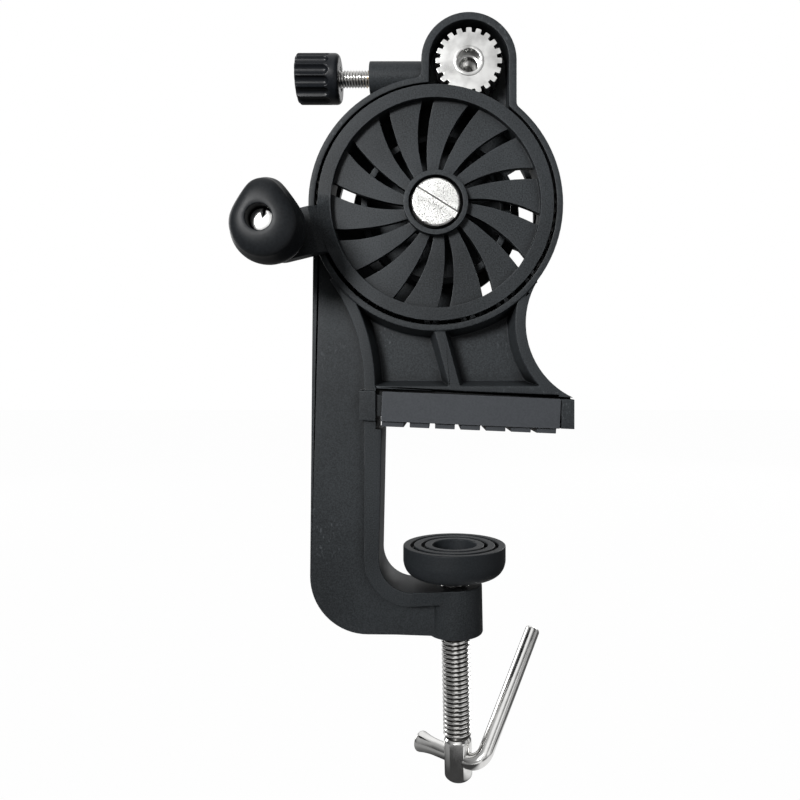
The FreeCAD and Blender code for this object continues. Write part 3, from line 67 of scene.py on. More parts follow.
camera = bpy.data.objects.new("camera", bpy.data.cameras.new("camera"))
camera.data.sensor_width = FILM_WIDTH
camera.data.lens = FILM_WIDTH * FOCAL_PIXELS / FRAME_PIXELS
camera.data.shift_x = (FRAME_PIXELS / 2 - EYE_LINE[0]) / FRAME_PIXELS
camera.data.shift_y = (EYE_LINE[1] - FRAME_PIXELS / 2) / FRAME_PIXELS
camera.data.clip_start = 0.01
camera.location = CAMERA_PLACE
camera.rotation_euler = (math.radians(90), 0, 0)
scene.collection.objects.link(camera)
scene.camera = camera


def soft_lamp(name, place, width, watts, aim=WINDER_MIDDLE, spread=180.0):
    """A round soft lamp that faces the winder."""
    lamp = bpy.data.objects.new(name, bpy.data.lights.new(name, "AREA"))
    lamp.data.shape = "DISK"
    lamp.data.size = width
    lamp.data.energy = watts
    lamp.data.spread = math.radians(spread)
    lamp.location = place
    lamp.rotation_euler = (Vector(aim) - Vector(place)).to_track_quat("-Z", "Y").to_euler()
    scene.collection.objects.link(lamp)


soft_lamp("front_lamp", (-0.40, -0.76, 0.30), width=0.26, watts=0.40, aim=(-0.02, 0.0, 0.08), spread=34.0)
soft_lamp("right_lamp", (0.62, -0.70, 0.10), width=0.5, watts=0.5)
soft_lamp("back_right_lamp", (0.55, 0.75, 0.34), width=0.6, watts=3.2)
soft_lamp("back_left_lamp", (-0.75, 0.50, 0.22), width=0.6, watts=2.4)


def wire(tree, source, target):
    """Join the output of one node to the input of another."""
    tree.links.new(source, target)


def fill(tree, socket, value):
    """Give a socket a colour or a number of its own, or wire another socket to it."""
    if isinstance(value, tuple):
        socket.default_value = (*value, 1.0)
    elif isinstance(value, (int, float)):
        socket.default_value = value
    else:
        wire(tree, value, socket)


def ramp_node(tree, source, stops):
    """The colour that belongs to a value, through stops of (position, colour)."""
    ramp = tree.nodes.new("ShaderNodeValToRGB")
    while len(ramp.color_ramp.elements) < len(stops):
        ramp.color_ramp.elements.new(0.5)
    for element, (position, colour) in zip(ramp.color_ramp.elements, stops):
        element.position = position
        element.color = (*colour, 1.0)
    wire(tree, source, ramp.inputs["Fac"])
    return ramp.outputs["Color"]


def grey(*levels):
    """Stops of a ramp that runs in plain greys."""
    return [(position, (level, level, level)) for position, level in levels]


def math_node(tree, operation, *values):
    """Arithmetic on numbers and sockets."""
    node = tree.nodes.new("ShaderNodeMath")
    node.operation = operation
    for socket, value in zip(node.inputs, values):
        fill(tree, socket, value)
    return node.outputs[0]


def mixed_colour(tree, share, first, second, blend="MIX"):
    """Two colours mixed, or the first multiplied by the second."""
    mix = tree.nodes.new("ShaderNodeMix")
    mix.data_type = "RGBA"
    mix.blend_type = blend
    for name, value in (("Factor", share), ("A", first), ("B", second)):
        fill(tree, mix.inputs[name], value)
    return mix.outputs["Result"]


def axes_of(tree, kind):
    """X, Y and Z of a place on the object or of a heading in the room."""
    axes = tree.nodes.new("ShaderNodeSeparateXYZ")
    wire(tree, tree.nodes.new("ShaderNodeTexCoord").outputs[kind], axes.inputs[0])
    return axes.outputs


def seen_as(tree, shader, seen, for_eye, for_metal):
    """Mix what lights the winder with what the eye, glass and polished metal see of the room."""
    path = tree.nodes.new("ShaderNodeLightPath").outputs
    clear = math_node(tree, "MAXIMUM", path["Is Camera Ray"], path["Is Transmission Ray"])
    share = math_node(tree, "MAXIMUM", math_node(tree, "MULTIPLY", clear, for_eye),
                      math_node(tree, "MULTIPLY", path["Is Glossy Ray"], for_metal))
    mix = tree.nodes.new("ShaderNodeMixShader")
    for socket, source in zip(mix.inputs, (share, shader, seen)):
        wire(tree, source, socket)
    return mix.outputs[0]


def new_material(name):
    """A node material, with its tree and its shader."""
    material = bpy.data.materials.new(name)
    material.use_nodes = True
    return material, material.node_tree, material.node_tree.nodes["Principled BSDF"]


room = bpy.data.worlds.new("room")
scene.world = room
room.use_nodes = True
room_tree = room.node_tree
room_tree.nodes.clear()


def room_glow(strength):
    """White light from all round at a strength."""
    glow = room_tree.nodes.new("ShaderNodeBackground")
    glow.inputs["Color"].default_value = (1, 1, 1, 1)
    glow.inputs["Strength"].default_value = strength
    return glow


room_light, room_white, screens = room_glow(0.09), room_glow(1.0), room_glow(1.0)
# A broad white screen stands behind the camera and a narrow one on the right, with dark studio between.
heading = axes_of(room_tree, "Generated")
sideways = math_node(room_tree, "MULTIPLY_ADD", heading["X"], 0.5, 0.5)
upwards = math_node(room_tree, "MULTIPLY_ADD", heading["Z"], 0.5, 0.5)
screen_sides = ramp_node(room_tree, sideways, grey(
    (0.0, 0.05), (0.10, 0.30), (0.24, 0.45), (0.38, 0.95), (0.56, 0.95), (0.66, 0.45), (0.76, 0.06),
    (0.88, 0.08), (0.95, 0.60), (1.0, 0.20)))
screen_height = ramp_node(room_tree, upwards, grey((0.20, 0.45), (0.45, 0.60), (0.75, 1.0)))
screen_glow = mixed_colour(room_tree, 1.0, screen_sides, screen_height, "MULTIPLY")
wire(room_tree, screen_glow, screens.inputs["Color"])
lit_room = seen_as(room_tree, room_light.outputs[0], screens.outputs[0], 0.0, 1.0)
lit_room = seen_as(room_tree, lit_room, room_white.outputs[0], 1.0, 0.0)
wire(room_tree, lit_room, room_tree.nodes.new("ShaderNodeOutputWorld").inputs["Surface"])

FLOOR_LEVEL = cad_box[0][2] - 0.0005
FLOOR_HALF = 3.0
floor_mesh = bpy.data.meshes.new("floor")
floor_mesh.from_pydata([(x * FLOOR_HALF, y * FLOOR_HALF, FLOOR_LEVEL)
                        for x, y in ((-1, -1), (1, -1), (1, 1), (-1, 1))], [], [(0, 1, 2, 3)])
floor = bpy.data.objects.new("floor", floor_mesh)
scene.collection.objects.link(floor)
floor_paint, floor_tree, floor_shader = new_material("floor_white")
# The floor is pale to the eye and keeps the winder's shadow, but throws little light back up.
floor_path = floor_tree.nodes.new("ShaderNodeLightPath").outputs
wire(floor_tree, math_node(floor_tree, "MULTIPLY_ADD", floor_path["Is Camera Ray"], 0.77, 0.18),
     floor_shader.inputs["Base Color"])
floor_shader.inputs["Roughness"].default_value = 0.9
floor_shader.inputs["Specular IOR Level"].default_value = 0.0
floor_glow = floor_tree.nodes.new("ShaderNodeEmission")
# A strip of the floor in front of the screw glows white like a card, seen only in reflections, as a painted
# reflection for the metal parts. Its stops run across the floor, and a second set of them takes over close to
# the foot of the winder.
card_glow = floor_tree.nodes.new("ShaderNodeEmission")
card_place = axes_of(floor_tree, "Object")
card_across = math_node(floor_tree, "MULTIPLY_ADD", card_place["X"], 4.0, 0.5)
card = ramp_node(floor_tree, card_across, grey(
    (0.10, 0.30), (0.22, 0.12), (0.36, 0.22), (0.42, 1.0), (0.53, 1.0), (0.58, 0.12),
    (0.74, 0.16), (0.82, 0.6)))
near_foot = ramp_node(floor_tree, card_across, grey(
    (0.40, 0.30), (0.47, 0.04), (0.52, 0.05), (0.545, 0.85), (0.66, 0.85), (0.72, 0.10)))
card_ahead = math_node(floor_tree, "MULTIPLY_ADD", card_place["Y"], 10.0, 1.0)
foot_share = ramp_node(floor_tree, card_ahead, grey((0.62, 0.0), (0.72, 1.0)))
wire(floor_tree, mixed_colour(floor_tree, foot_share, card, near_foot), card_glow.inputs["Color"])
floor_for_metal = seen_as(floor_tree, floor_shader.outputs[0], card_glow.outputs[0], 0.0, 0.9)
wire(floor_tree, seen_as(floor_tree, floor_for_metal, floor_glow.outputs[0], 0.985, 0.0),
     floor_tree.nodes["Material Output"].inputs["Surface"])
floor_mesh.materials.append(floor_paint)

# ---------------------------------------------------------------- clamp frame
# One nylon moulding, from the round wheel pan at the top to the screw boss at the bottom.
# It leaves the mould with a fine satin grain, and every edge is a little rounded.


def grain_node(tree, place, size_mm, detail):
    """Noise whose lumps are about size_mm across."""
    noise = tree.nodes.new("ShaderNodeTexNoise")
    noise.inputs["Scale"].default_value = 1000.0 / size_mm
    noise.inputs["Detail"].default_value = detail
    wire(tree, place, noise.inputs["Vector"])
    return noise.outputs["Fac"]


def edge_wear_and_highlight_mask(tree, width_mm):
    """White on edges, partly as abrasion and partly as a painted highlight; black on flat faces."""
    rounded = tree.nodes.new("ShaderNodeBevel")
    rounded.samples = 4
    rounded.inputs["Radius"].default_value = width_mm / 1000.0
    plain = tree.nodes.new("ShaderNodeNewGeometry")
    turn = tree.nodes.new("ShaderNodeVectorMath")
    turn.operation = "DOT_PRODUCT"
    wire(tree, rounded.outputs["Normal"], turn.inputs[0])
    wire(tree, plain.outputs["Normal"], turn.inputs[1])
    return ramp_node(tree, turn.outputs["Value"], grey((0.80, 1.0), (0.985, 0.0)))


def scuff_mask(tree, place, amount):
    """Short slanting rubs in patches, paler than the skin of the moulding."""
    slant = tree.nodes.new("ShaderNodeMapping")
    slant.inputs["Rotation"].default_value = (0.0, math.radians(38), 0.0)
    slant.inputs["Scale"].default_value = (1.0, 1.0, 0.5)
    wire(tree, place, slant.inputs["Vector"])
    streaks = grain_node(tree, slant.outputs[0], size_mm=0.8, detail=3.0)
    patches = grain_node(tree, place, size_mm=24.0, detail=1.0)
    return math_node(tree, "MULTIPLY", ramp_node(tree, streaks, grey((0.60, 0.0), (0.70, 1.0))),
                     ramp_node(tree, patches, grey((0.54, 0.0), (0.66, amount))))


def painted_corner_shade_mask(tree):
    """Painted shade: dark in inner corners, white on open faces."""
    corner_shade = tree.nodes.new("ShaderNodeAmbientOcclusion")
    corner_shade.samples = 6
    corner_shade.inputs["Distance"].default_value = 0.005
    return ramp_node(tree, corner_shade.outputs["AO"], grey((0.30, 0.14), (0.85, 1.0)))


def shaded(tone, amount):
    """A tone made darker or paler."""
    return tuple(channel * amount for channel in tone)


def surface_feel(tree, shader, sheen_source, smoothest, roughest, height, depth_mm, strength):
    """Roughness that follows one pattern, and a bump that follows another."""
    sheen = tree.nodes.new("ShaderNodeMapRange")
    sheen.inputs["To Min"].default_value = smoothest
    sheen.inputs["To Max"].default_value = roughest
    wire(tree, sheen_source, sheen.inputs["Value"])
    wire(tree, sheen.outputs["Result"], shader.inputs["Roughness"])
    bump = tree.nodes.new("ShaderNodeBump")
    bump.inputs["Strength"].default_value = strength
    bump.inputs["Distance"].default_value = depth_mm / 1000.0
    wire(tree, height, bump.inputs["Height"])
    wire(tree, bump.outputs["Normal"], shader.inputs["Normal"])


def moulded_plastic(name, tone, lift, roughness, grain_mm=0.45, grain_depth=0.03, edge_wear_and_highlight=0.5, gloss=0.15,
                    scuffs=0.0):
    """Moulded plastic: mottled tone, fine grain, paler, smoother edges that are partly abrasion and partly a
    painted highlight, and painted shade in inner corners.
    """
    material, tree, shader = new_material(name)
    shader.inputs["Specular IOR Level"].default_value = gloss
    place = tree.nodes.new("ShaderNodeTexCoord").outputs["Object"]
    fine = grain_node(tree, place, grain_mm, detail=4.0)
    mottle = tree.nodes.new("ShaderNodeMix")
    mottle.inputs["Factor"].default_value = 0.6
    wire(tree, grain_node(tree, place, size_mm=38.0, detail=3.0), mottle.inputs["A"])
    wire(tree, fine, mottle.inputs["B"])
    colour = ramp_node(tree, mottle.outputs["Result"], [(0.38, shaded(tone, 1 - lift)),
                                                        (0.62, shaded(tone, 1 + lift))])
    patchy = ramp_node(tree, grain_node(tree, place, size_mm=6.0, detail=5.0),
                       grey((0.42, 0.0), (0.62, edge_wear_and_highlight)))
    # Pale edges: partly abrasion, partly a painted highlight.
    rubbed_and_highlit = math_node(tree, "MULTIPLY", edge_wear_and_highlight_mask(tree, width_mm=0.7), patchy)
    if scuffs:
        rubbed_and_highlit = math_node(tree, "MAXIMUM", rubbed_and_highlit, scuff_mask(tree, place, scuffs))
    edge_wear_and_highlight_tone = tuple(channel * 2.2 + 0.012 for channel in tone)
    skin = mixed_colour(tree, rubbed_and_highlit, colour, edge_wear_and_highlight_tone)
    # Inner corners are darkened with painted shade.
    wire(tree, mixed_colour(tree, 1.0, skin, painted_corner_shade_mask(tree), "MULTIPLY"), shader.inputs["Base Color"])
    surface_feel(tree, shader, fine, roughness - 0.07, roughness + 0.07, fine, grain_depth, 0.6)
    return material


def fit_piece(piece, node, body, material):
    """Give a finished shape its material and put it in the place of its CAD node."""
    piece.data.materials.clear()
    piece.data.materials.append(material)
    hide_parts(node)
    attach(piece, body)
    return piece


def stand_in(node, mesh):
    """A new object for the shape that stands for a CAD node."""
    piece = bpy.data.objects.new(f"{node}_shape", mesh)
    scene.collection.objects.link(piece)
    return piece


def smooth_but_sharp(piece, sharp):
    """Smooth shading that keeps flat faces flat and breaks at edges sharper than the angle."""
    for face in piece.data.polygons:
        face.use_smooth = True
    piece.data.set_sharp_from_angle(angle=math.radians(sharp))
    weighted = piece.modifiers.new("flat_faces_stay_flat", "WEIGHTED_NORMAL")
    weighted.keep_sharp = True


def apply_modifiers(piece):
    """Make what the modifiers do a part of the mesh."""
    changed = bpy.data.meshes.new_from_object(piece.evaluated_get(bpy.context.evaluated_depsgraph_get()))
    piece.modifiers.clear()
    piece.data = changed


SHARP_EDGE = 32.0
FACE_SEAM = 2e-6
SLIVER = 1e-6


def eased_copy(node, edge_mm, body, material, reshape=None, leave=None):
    """Stand-in for a CAD node with its edges rounded by edge_mm, except those that leave picks out."""
    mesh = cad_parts[node].data.copy()
    work = bmesh.new()
    work.from_mesh(mesh)
    bmesh.ops.remove_doubles(work, verts=work.verts, dist=FACE_SEAM)
    bmesh.ops.dissolve_degenerate(work, dist=SLIVER, edges=work.edges)
    if reshape:
        reshape(work)
    weight = work.edges.layers.float.new("bevel_weight_edge")
    for edge in work.edges:
        bent = len(edge.link_faces) == 2 and edge.calc_face_angle(0.0) > math.radians(SHARP_EDGE)
        edge[weight] = 1.0 if bent and not (leave and leave(edge)) else 0.0
    work.to_mesh(mesh)
    work.free()
    piece = stand_in(node, mesh)
    easing = piece.modifiers.new("edge", "BEVEL")
    easing.width = edge_mm / 1000.0
    easing.segments = 2
    easing.limit_method = "WEIGHT"
    easing.use_clamp_overlap = False
    easing.miter_outer = "MITER_ARC"
    apply_modifiers(piece)
    smooth_but_sharp(piece, SHARP_EDGE)
    return fit_piece(piece, node, body, material)


BLACK_NYLON = (0.029, 0.0325, 0.0355)
# Strong pale edges on the frame, partly a painted highlight along its rims.
frame_nylon = moulded_plastic("frame_nylon", BLACK_NYLON, 0.36, 0.50, edge_wear_and_highlight=0.8, scuffs=0.8)

# Where the horn's flange runs out beside the screw boss, in millimetres. Points that then lie closer
# together than CLOSE_POINTS, in metres, become one.
BOSS_FACE = -9.34
BOSS_SIDE = -2.0
HORN_TOP = -50.0
FLANGE_FACE = -9.6
FLANGE_TAIL = -10.0
BLEND_FRONT = -4.0
BLEND_ACROSS = (-7.0, 4.5)
BLEND_HEIGHT = (-69.0, -52.5)
CLOSE_POINTS = 8e-5


def lead_into_boss(work):
    """The horn's flange slopes back until it is level with the screw boss."""
    for vertex in work.verts:
        x, y, z = vertex.co * 1000.0
        if x > FLANGE_TAIL and y < FLANGE_FACE and z < HORN_TOP:
            vertex.co.y = BOSS_FACE / 1000.0
    near_boss = [vertex for vertex in work.verts
                 if vertex.co.x > BOSS_SIDE / 1000.0 and vertex.co.z < HORN_TOP / 1000.0]
    bmesh.ops.remove_doubles(work, verts=near_boss, dist=CLOSE_POINTS)


def flange_meets_boss(edge):
    """The run where the flange blends into the screw boss has no edge of its own."""
    middle = (edge.verts[0].co + edge.verts[1].co) * 500.0
    return (middle.y < BLEND_FRONT and BLEND_ACROSS[0] < middle.x < BLEND_ACROSS[1]
            and BLEND_HEIGHT[0] < middle.z < BLEND_HEIGHT[1])


eased_copy("clamp_frame", 0.4, "frame", frame_nylon, lead_into_boss, flange_meets_boss)

# ---------------------------------------------------------------- jaw grip
# A smoother cover of tougher nylon, pushed over the jaw bar, with seven grip ribs below.
# It is polished by the tables that it has held.

RIB_SIDE = -22.2
RIB_TOP = 2.64
RIB_LEAD = 0.9
grip_nylon = moulded_plastic("grip_nylon", (0.060, 0.0645, 0.0715), 0.10, 0.42, grain_mm=0.6,
                             grain_depth=0.01, edge_wear_and_highlight=0.35)


def first_rib_flush(work):
    """The first grip rib starts flush with the end of the cover."""
    for vertex in work.verts:
        if vertex.co.x < RIB_SIDE / 1000.0 and vertex.co.z < RIB_TOP / 1000.0:
            vertex.co.x -= RIB_LEAD / 1000.0


eased_copy("jaw_grip", 0.35, "frame", grip_nylon, first_rib_flush)

# ---------------------------------------------------------------- crank wheel
# One moulding of the same black nylon: a flat ring, fourteen swept blades, hub, gear rim and crank lug.
# The lug ramps up from the ring and passes over the rim of the pan.

WHEEL_AXIS = (-5.4, 0.0, 74.2)
RING_FACE = -13.0
RING_OUTSIDE = 38.45
LUG_TURN = math.radians(193.7)
LUG_ROOT = 34.6
LUG_RAMP_TOP = 40.4
LUG_INNER = 30.0
LUG_SIDE = 9.0
# Strong pale edges on the wheel, partly a painted highlight along its ring.
wheel_nylon = moulded_plastic("wheel_nylon", BLACK_NYLON, 0.50, 0.48, grain_depth=0.06, edge_wear_and_highlight=0.8)
wheel_middle = Vector(WHEEL_AXIS)
lug_heading = Vector((math.cos(LUG_TURN), 0, math.sin(LUG_TURN)))
lug_across = Vector((-math.sin(LUG_TURN), 0, math.cos(LUG_TURN)))


def near_lug(vertex, front, furthest=math.inf):
    """Whether a vertex lies in front of a depth, on the lug or at its root."""
    offset = vertex.co * 1000.0 - wheel_middle
    return (vertex.co.y < front / 1000.0 and LUG_INNER < offset.dot(lug_heading) < furthest
            and abs(offset.dot(lug_across)) < LUG_SIDE)


def slope_lug_root(work):
    """The crank lug ramps down on to the face of the ring instead of ending in a step."""
    step_front = (RING_FACE - 0.5) / 1000.0
    faces = [face for face in work.faces if all(near_lug(vertex, RING_FACE + 1.0) for vertex in face.verts)
             and any(vertex.co.y < step_front for vertex in face.verts)]
    parts = list({part for face in faces for part in (*face.verts, *face.edges, face)})
    bmesh.ops.bisect_plane(work, geom=parts, plane_co=(wheel_middle + lug_heading * LUG_RAMP_TOP) / 1000.0,
                           plane_no=lug_heading)
    root = [vertex for vertex in work.verts if near_lug(vertex, RING_FACE + 0.5, LUG_ROOT + 0.5)]
    for vertex in root:
        if vertex.co.y < step_front:
            vertex.co.y = RING_FACE / 1000.0
    bmesh.ops.remove_doubles(work, verts=root, dist=CLOSE_POINTS)


crank_wheel = eased_copy("crank_wheel", 0.22, "wheel", wheel_nylon, slope_lug_root)

# The lug spreads over the ring in two soft shoulders, which are a patch joined to the wheel's skin. The
# last row of its points turns in behind the face of the ring.
SHOULDER_TURN = math.radians(20)
SHOULDER_FADE = 5.2
LUG_HALF = 7.65
LUG_RISE = 4.0
SHOULDER_COLUMNS = 40
SHOULDER_ROWS = 12
shoulder_points = []
for column in range(SHOULDER_COLUMNS + 1):
    turn = SHOULDER_TURN * (2 * column / SHOULDER_COLUMNS - 1)
    for row in range(SHOULDER_ROWS):
        reach = LUG_ROOT + 0.1 + (RING_OUTSIDE - LUG_ROOT - 0.1) * row / (SHOULDER_ROWS - 2)
        reach = min(reach, RING_OUTSIDE)
        beyond = min(1.0, max(0.0, (abs(reach * math.sin(turn)) - LUG_HALF + 0.4) / SHOULDER_FADE))
        rise = LUG_RISE * (reach - LUG_ROOT) / (LUG_RAMP_TOP - LUG_ROOT) * (1 - beyond) ** 2.2
        depth = RING_FACE + 0.5 if row == SHOULDER_ROWS - 1 else RING_FACE + 0.05 - rise
        shoulder_points.append((WHEEL_AXIS[0] + reach * math.cos(LUG_TURN + turn), depth,
                                WHEEL_AXIS[2] + reach * math.sin(LUG_TURN + turn)))
shoulder_faces = []
for column in range(SHOULDER_COLUMNS):
    for row in range(SHOULDER_ROWS - 1):
        first = column * SHOULDER_ROWS + row
        shoulder_faces.append((first, first + 1, first + 1 + SHOULDER_ROWS, first + SHOULDER_ROWS))
shoulders = bpy.data.meshes.new("lug_shoulders")
shoulders.from_pydata([Vector(place) / 1000.0 for place in shoulder_points], [], shoulder_faces)
work = bmesh.new()
work.from_mesh(shoulders)
if sum(face.normal.y for face in work.faces) > 0:
    bmesh.ops.reverse_faces(work, faces=work.faces)
for face in work.faces:
    face.smooth = True
work.from_mesh(crank_wheel.data)
work.to_mesh(crank_wheel.data)
work.free()
crank_wheel.data.set_sharp_from_angle(angle=math.radians(SHARP_EDGE))

# The gear teeth behind the ring are painted near black, a painted shade for the narrow gap between the ring
# and the pan.
TEETH_INSIDE = 37.0
TEETH_FRONT = -11.3
TEETH_BACK = -2.0
crank_wheel.data.materials.append(
    moulded_plastic("teeth_in_painted_shade", (0.004, 0.0045, 0.005), 0.2, 0.6, gloss=0.05))
for face in crank_wheel.data.polygons:
    middle = face.center * 1000.0 - wheel_middle
    if math.hypot(middle.x, middle.z) > TEETH_INSIDE and TEETH_FRONT < middle.y < TEETH_BACK:
        face.material_index = 1

# ---------------------------------------------------------------- wheel bolt and its bearings
# A slotted steel shoulder bolt, zinc plated, with a pitted face. The wheel turns on it in a bronze bush,
# with a washer behind the hub and a washer and nut behind the pan.

ALONG_Y = Matrix.Rotation(math.radians(-90), 4, "X")
RUNNING_GAP = 0.05
SHOULDER = 5.0
BOLT_SHANK = 4.0
BUSH_WALL = 1.55
HUB_WASHER = 9.0
HUB_WASHER_THICK = 0.8
PAN_WASHER = 8.0
PAN_WASHER_THICK = 1.2
HUB_FACE = -9.5
WHEEL_BACK = -2.6
POST_FRONT = -1.6
FRAME_BACK = 10.8


def plated_steel(name, tone, roughness, depth=0.004, pits=0.0, pit_mm=0.8, tarnish=0.35):
    """Bare or plated metal: cloudy tone, fine tool marks in the sheen, and pits where asked."""
    material, tree, shader = new_material(name)
    shader.inputs["Metallic"].default_value = 1.0
    place = tree.nodes.new("ShaderNodeTexCoord").outputs["Object"]
    cloud = grain_node(tree, place, size_mm=4.0, detail=4.0)
    height = grain_node(tree, place, size_mm=0.5, detail=4.0)
    colour = ramp_node(tree, cloud, [(0.36, shaded(tone, 1 - tarnish)), (0.60, tone)])
    if pits:
        hollows = grain_node(tree, place, pit_mm, detail=3.0)
        height = ramp_node(tree, hollows, grey((0.36, 0.0), (0.47, 1.0)))
        colour = mixed_colour(tree, height, shaded(tone, 1 - pits), colour)
    wire(tree, colour, shader.inputs["Base Color"])
    surface_feel(tree, shader, cloud, roughness - 0.10, roughness + 0.12, height, depth, 0.8)
    return material


EASE_STEPS = 3
ONE_POINT = 2e-7


def rounded_between(first, corner, last, share):
    """A point on the curve that leaves first towards the corner and comes from it to last."""
    return first * (1 - share) ** 2 + corner * 2 * share * (1 - share) + last * share ** 2


def eased_corners(corners, ease):
    """A turned section with each corner rounded; ends that lie on the axis stay as they are."""
    closed = corners[0][0] > 0 and corners[-1][0] > 0
    rounded = []
    for index, (radius, along) in enumerate(corners):
        here = Vector((radius, along))
        back = Vector(corners[index - 1]) - here
        on = Vector(corners[(index + 1) % len(corners)]) - here
        reach = min(ease, back.length * 0.45, on.length * 0.45)
        if index in (0, len(corners) - 1) and not closed or reach < 1e-4:
            rounded.append((radius, along))
            continue
        first = here + back.normalized() * reach
        last = here + on.normalized() * reach
        for step in range(EASE_STEPS + 1):
            rounded.append(tuple(rounded_between(first, here, last, step / EASE_STEPS)))
    return rounded, closed


def around(count):
    """Even turns round a full circle."""
    return [2 * math.pi * step / count for step in range(count)]


def ring_mesh(name, rings, closed=True):
    """A skin over rings of points in millimetres; in a closed one the last ring joins the first."""
    count = len(rings[0])
    faces = []
    for row in range(len(rings) if closed else len(rings) - 1):
        upper = (row + 1) % len(rings)
        for step in range(count):
            beside = (step + 1) % count
            faces.append((row * count + step, row * count + beside,
                          upper * count + beside, upper * count + step))
    mesh = bpy.data.meshes.new(name)
    mesh.from_pydata([Vector(place) / 1000.0 for ring_points in rings for place in ring_points], [], faces)
    work = bmesh.new()
    work.from_mesh(mesh)
    bmesh.ops.remove_doubles(work, verts=work.verts, dist=ONE_POINT)
    bmesh.ops.recalc_face_normals(work, faces=work.faces)
    work.to_mesh(mesh)
    work.free()
    return mesh


def turned_mesh(name, corners, ease, placing, segments=96):
    """A mesh turned round its own Z axis from a half section of (radius, distance), in millimetres."""
    section, closed = eased_corners(corners, ease)
    return ring_mesh(name, [[placing @ Vector((radius * math.cos(turn), radius * math.sin(turn), along))
                             for turn in around(segments)] for radius, along in section], closed)


def finished_piece(node, mesh, body, material, sharp):
    """A mesh smoothed, linked and put in the place of its CAD node."""
    piece = stand_in(node, mesh)
    smooth_but_sharp(piece, sharp)
    return fit_piece(piece, node, body, material)


def turned_piece(node, corners, ease, placing, body, material, sharp=40.0):
    """A piece turned from a half section, smoothed and put in its place."""
    return finished_piece(node, turned_mesh(node, corners, ease, placing), body, material, sharp)


def sleeve(inner, outer, start, finish):
    """Half section of a plain sleeve or washer."""
    return [(inner, start), (outer, start), (outer, finish), (inner, finish)]


wheel_place = Matrix.Translation(WHEEL_AXIS) @ ALONG_Y
pitted_zinc = plated_steel("pitted_zinc", (0.60, 0.60, 0.585), 0.36, depth=0.035, pits=0.75, pit_mm=0.42,
                           tarnish=0.15)
zinc = plated_steel("zinc_plate", (0.60, 0.60, 0.59), 0.30)
bronze = plated_steel("sintered_bronze", (0.52, 0.35, 0.16), 0.42, depth=0.01)
eased_copy("wheel_bolt", 0.18, "frame", pitted_zinc)
turned_piece("wheel_bush", sleeve(SHOULDER + RUNNING_GAP, SHOULDER + BUSH_WALL, HUB_FACE, WHEEL_BACK), 0.2,
             wheel_place, "wheel", bronze)
turned_piece("thrust_washer", sleeve(SHOULDER + RUNNING_GAP, HUB_WASHER, POST_FRONT - HUB_WASHER_THICK,
                                     POST_FRONT), 0.15, wheel_place, "frame", zinc)
turned_piece("wheel_bolt_washer", sleeve(BOLT_SHANK + RUNNING_GAP, PAN_WASHER, FRAME_BACK,
                                         FRAME_BACK + PAN_WASHER_THICK), 0.2, wheel_place,
             "frame", zinc)
eased_copy("wheel_bolt_nut", 0.35, "frame", zinc)

# ---------------------------------------------------------------- crank handle
# An egg-shaped knob moulded in smooth black plastic, wide at its lower side. It turns on a shoulder screw
# that sits deep in the knob's end and is held by a thin nut in the back of the lug.

HANDLE_AXIS = (-55.143, 0.0, 62.074)
KNOB_START = -17.8
KNOB_LENGTH = 27.5
KNOB_SHOULDER = 24.0
KNOB_BORE = 3.75
KNOB_SEAT = -36.9
KNOB_POINTS = 96
FLANK_ROWS = 24
END_ROWS = 12
SLEEVE_BORE = 2.45
SLEEVE_SEAT = 3.35
LUG_WASHER = 6.8
LUG_WASHER_THICK = 0.6
AXLE_HEAD = 3.45
AXLE_SHANK = 2.4
AXLE_THREAD = 1.9
HEAD_FRONT = -41.3
HEAD_BACK = -37.1
SHANK_BACK = -17.0
NUT_BACK = -12.6
# Distance from the lug's end, then the round belly and the round crown of the egg-shaped section,
# each as (across, up, radius).
KNOB_STATIONS = (
    (0.0, (0.2, -0.2, 7.2), (0.1, 0.9, 6.6)),
    (9.0, (0.6, -0.7, 9.1), (0.4, 3.2, 6.7)),
    (19.0, (0.8, -1.2, 11.0), (0.6, 6.4, 6.7)),
    (24.6, (0.7, -1.0, 9.8), (0.5, 5.6, 6.1)),
)


def smooth_between(before, near, far, after, share):
    """A number on the smooth curve from near to far that also heeds the numbers beyond them."""
    return near + 0.5 * share * (far - before + share * (2 * before - 5 * near + 4 * far - after
                                                         + share * (3 * (near - far) + after - before)))


def knob_station(along):
    """Belly and crown at a distance along the knob, on a smooth curve through the stations."""
    last = len(KNOB_STATIONS) - 1
    index = 0
    while index < last - 1 and along > KNOB_STATIONS[index + 1][0]:
        index += 1
    four = [KNOB_STATIONS[min(max(index + step, 0), last)] for step in (-1, 0, 1, 2)]
    share = (along - four[1][0]) / (four[2][0] - four[1][0])
    return [[smooth_between(*(station[part][place] for station in four), share) for place in range(3)]
            for part in (1, 2)]


def egg_outline(belly, crown):
    """Smooth outline round a large and a small circle, as (across, up) places."""
    blend = 0.55
    places = []
    for turn in around(KNOB_POINTS):
        out, up = math.cos(turn), math.sin(turn)
        reach = [circle[0] * out + circle[1] * up + circle[2] for circle in (belly, crown)]
        slope = [circle[1] * out - circle[0] * up for circle in (belly, crown)]
        weight = 1 / (1 + math.exp(-(reach[1] - reach[0]) / blend))
        edge = weight * reach[1] + (1 - weight) * reach[0]
        turned = weight * slope[1] + (1 - weight) * slope[0]
        places.append((edge * out - turned * up, edge * up + turned * out))
    return places


def knob_circle(radius):
    """A round outline with as many places as the egg-shaped one."""
    return [(radius * math.cos(turn), radius * math.sin(turn)) for turn in around(KNOB_POINTS)]


def between(first, second, share):
    """The outline that lies a share of the way from one to another."""
    return [(x * (1 - share) + u * share, z * (1 - share) + w * share)
            for (x, z), (u, w) in zip(first, second)]


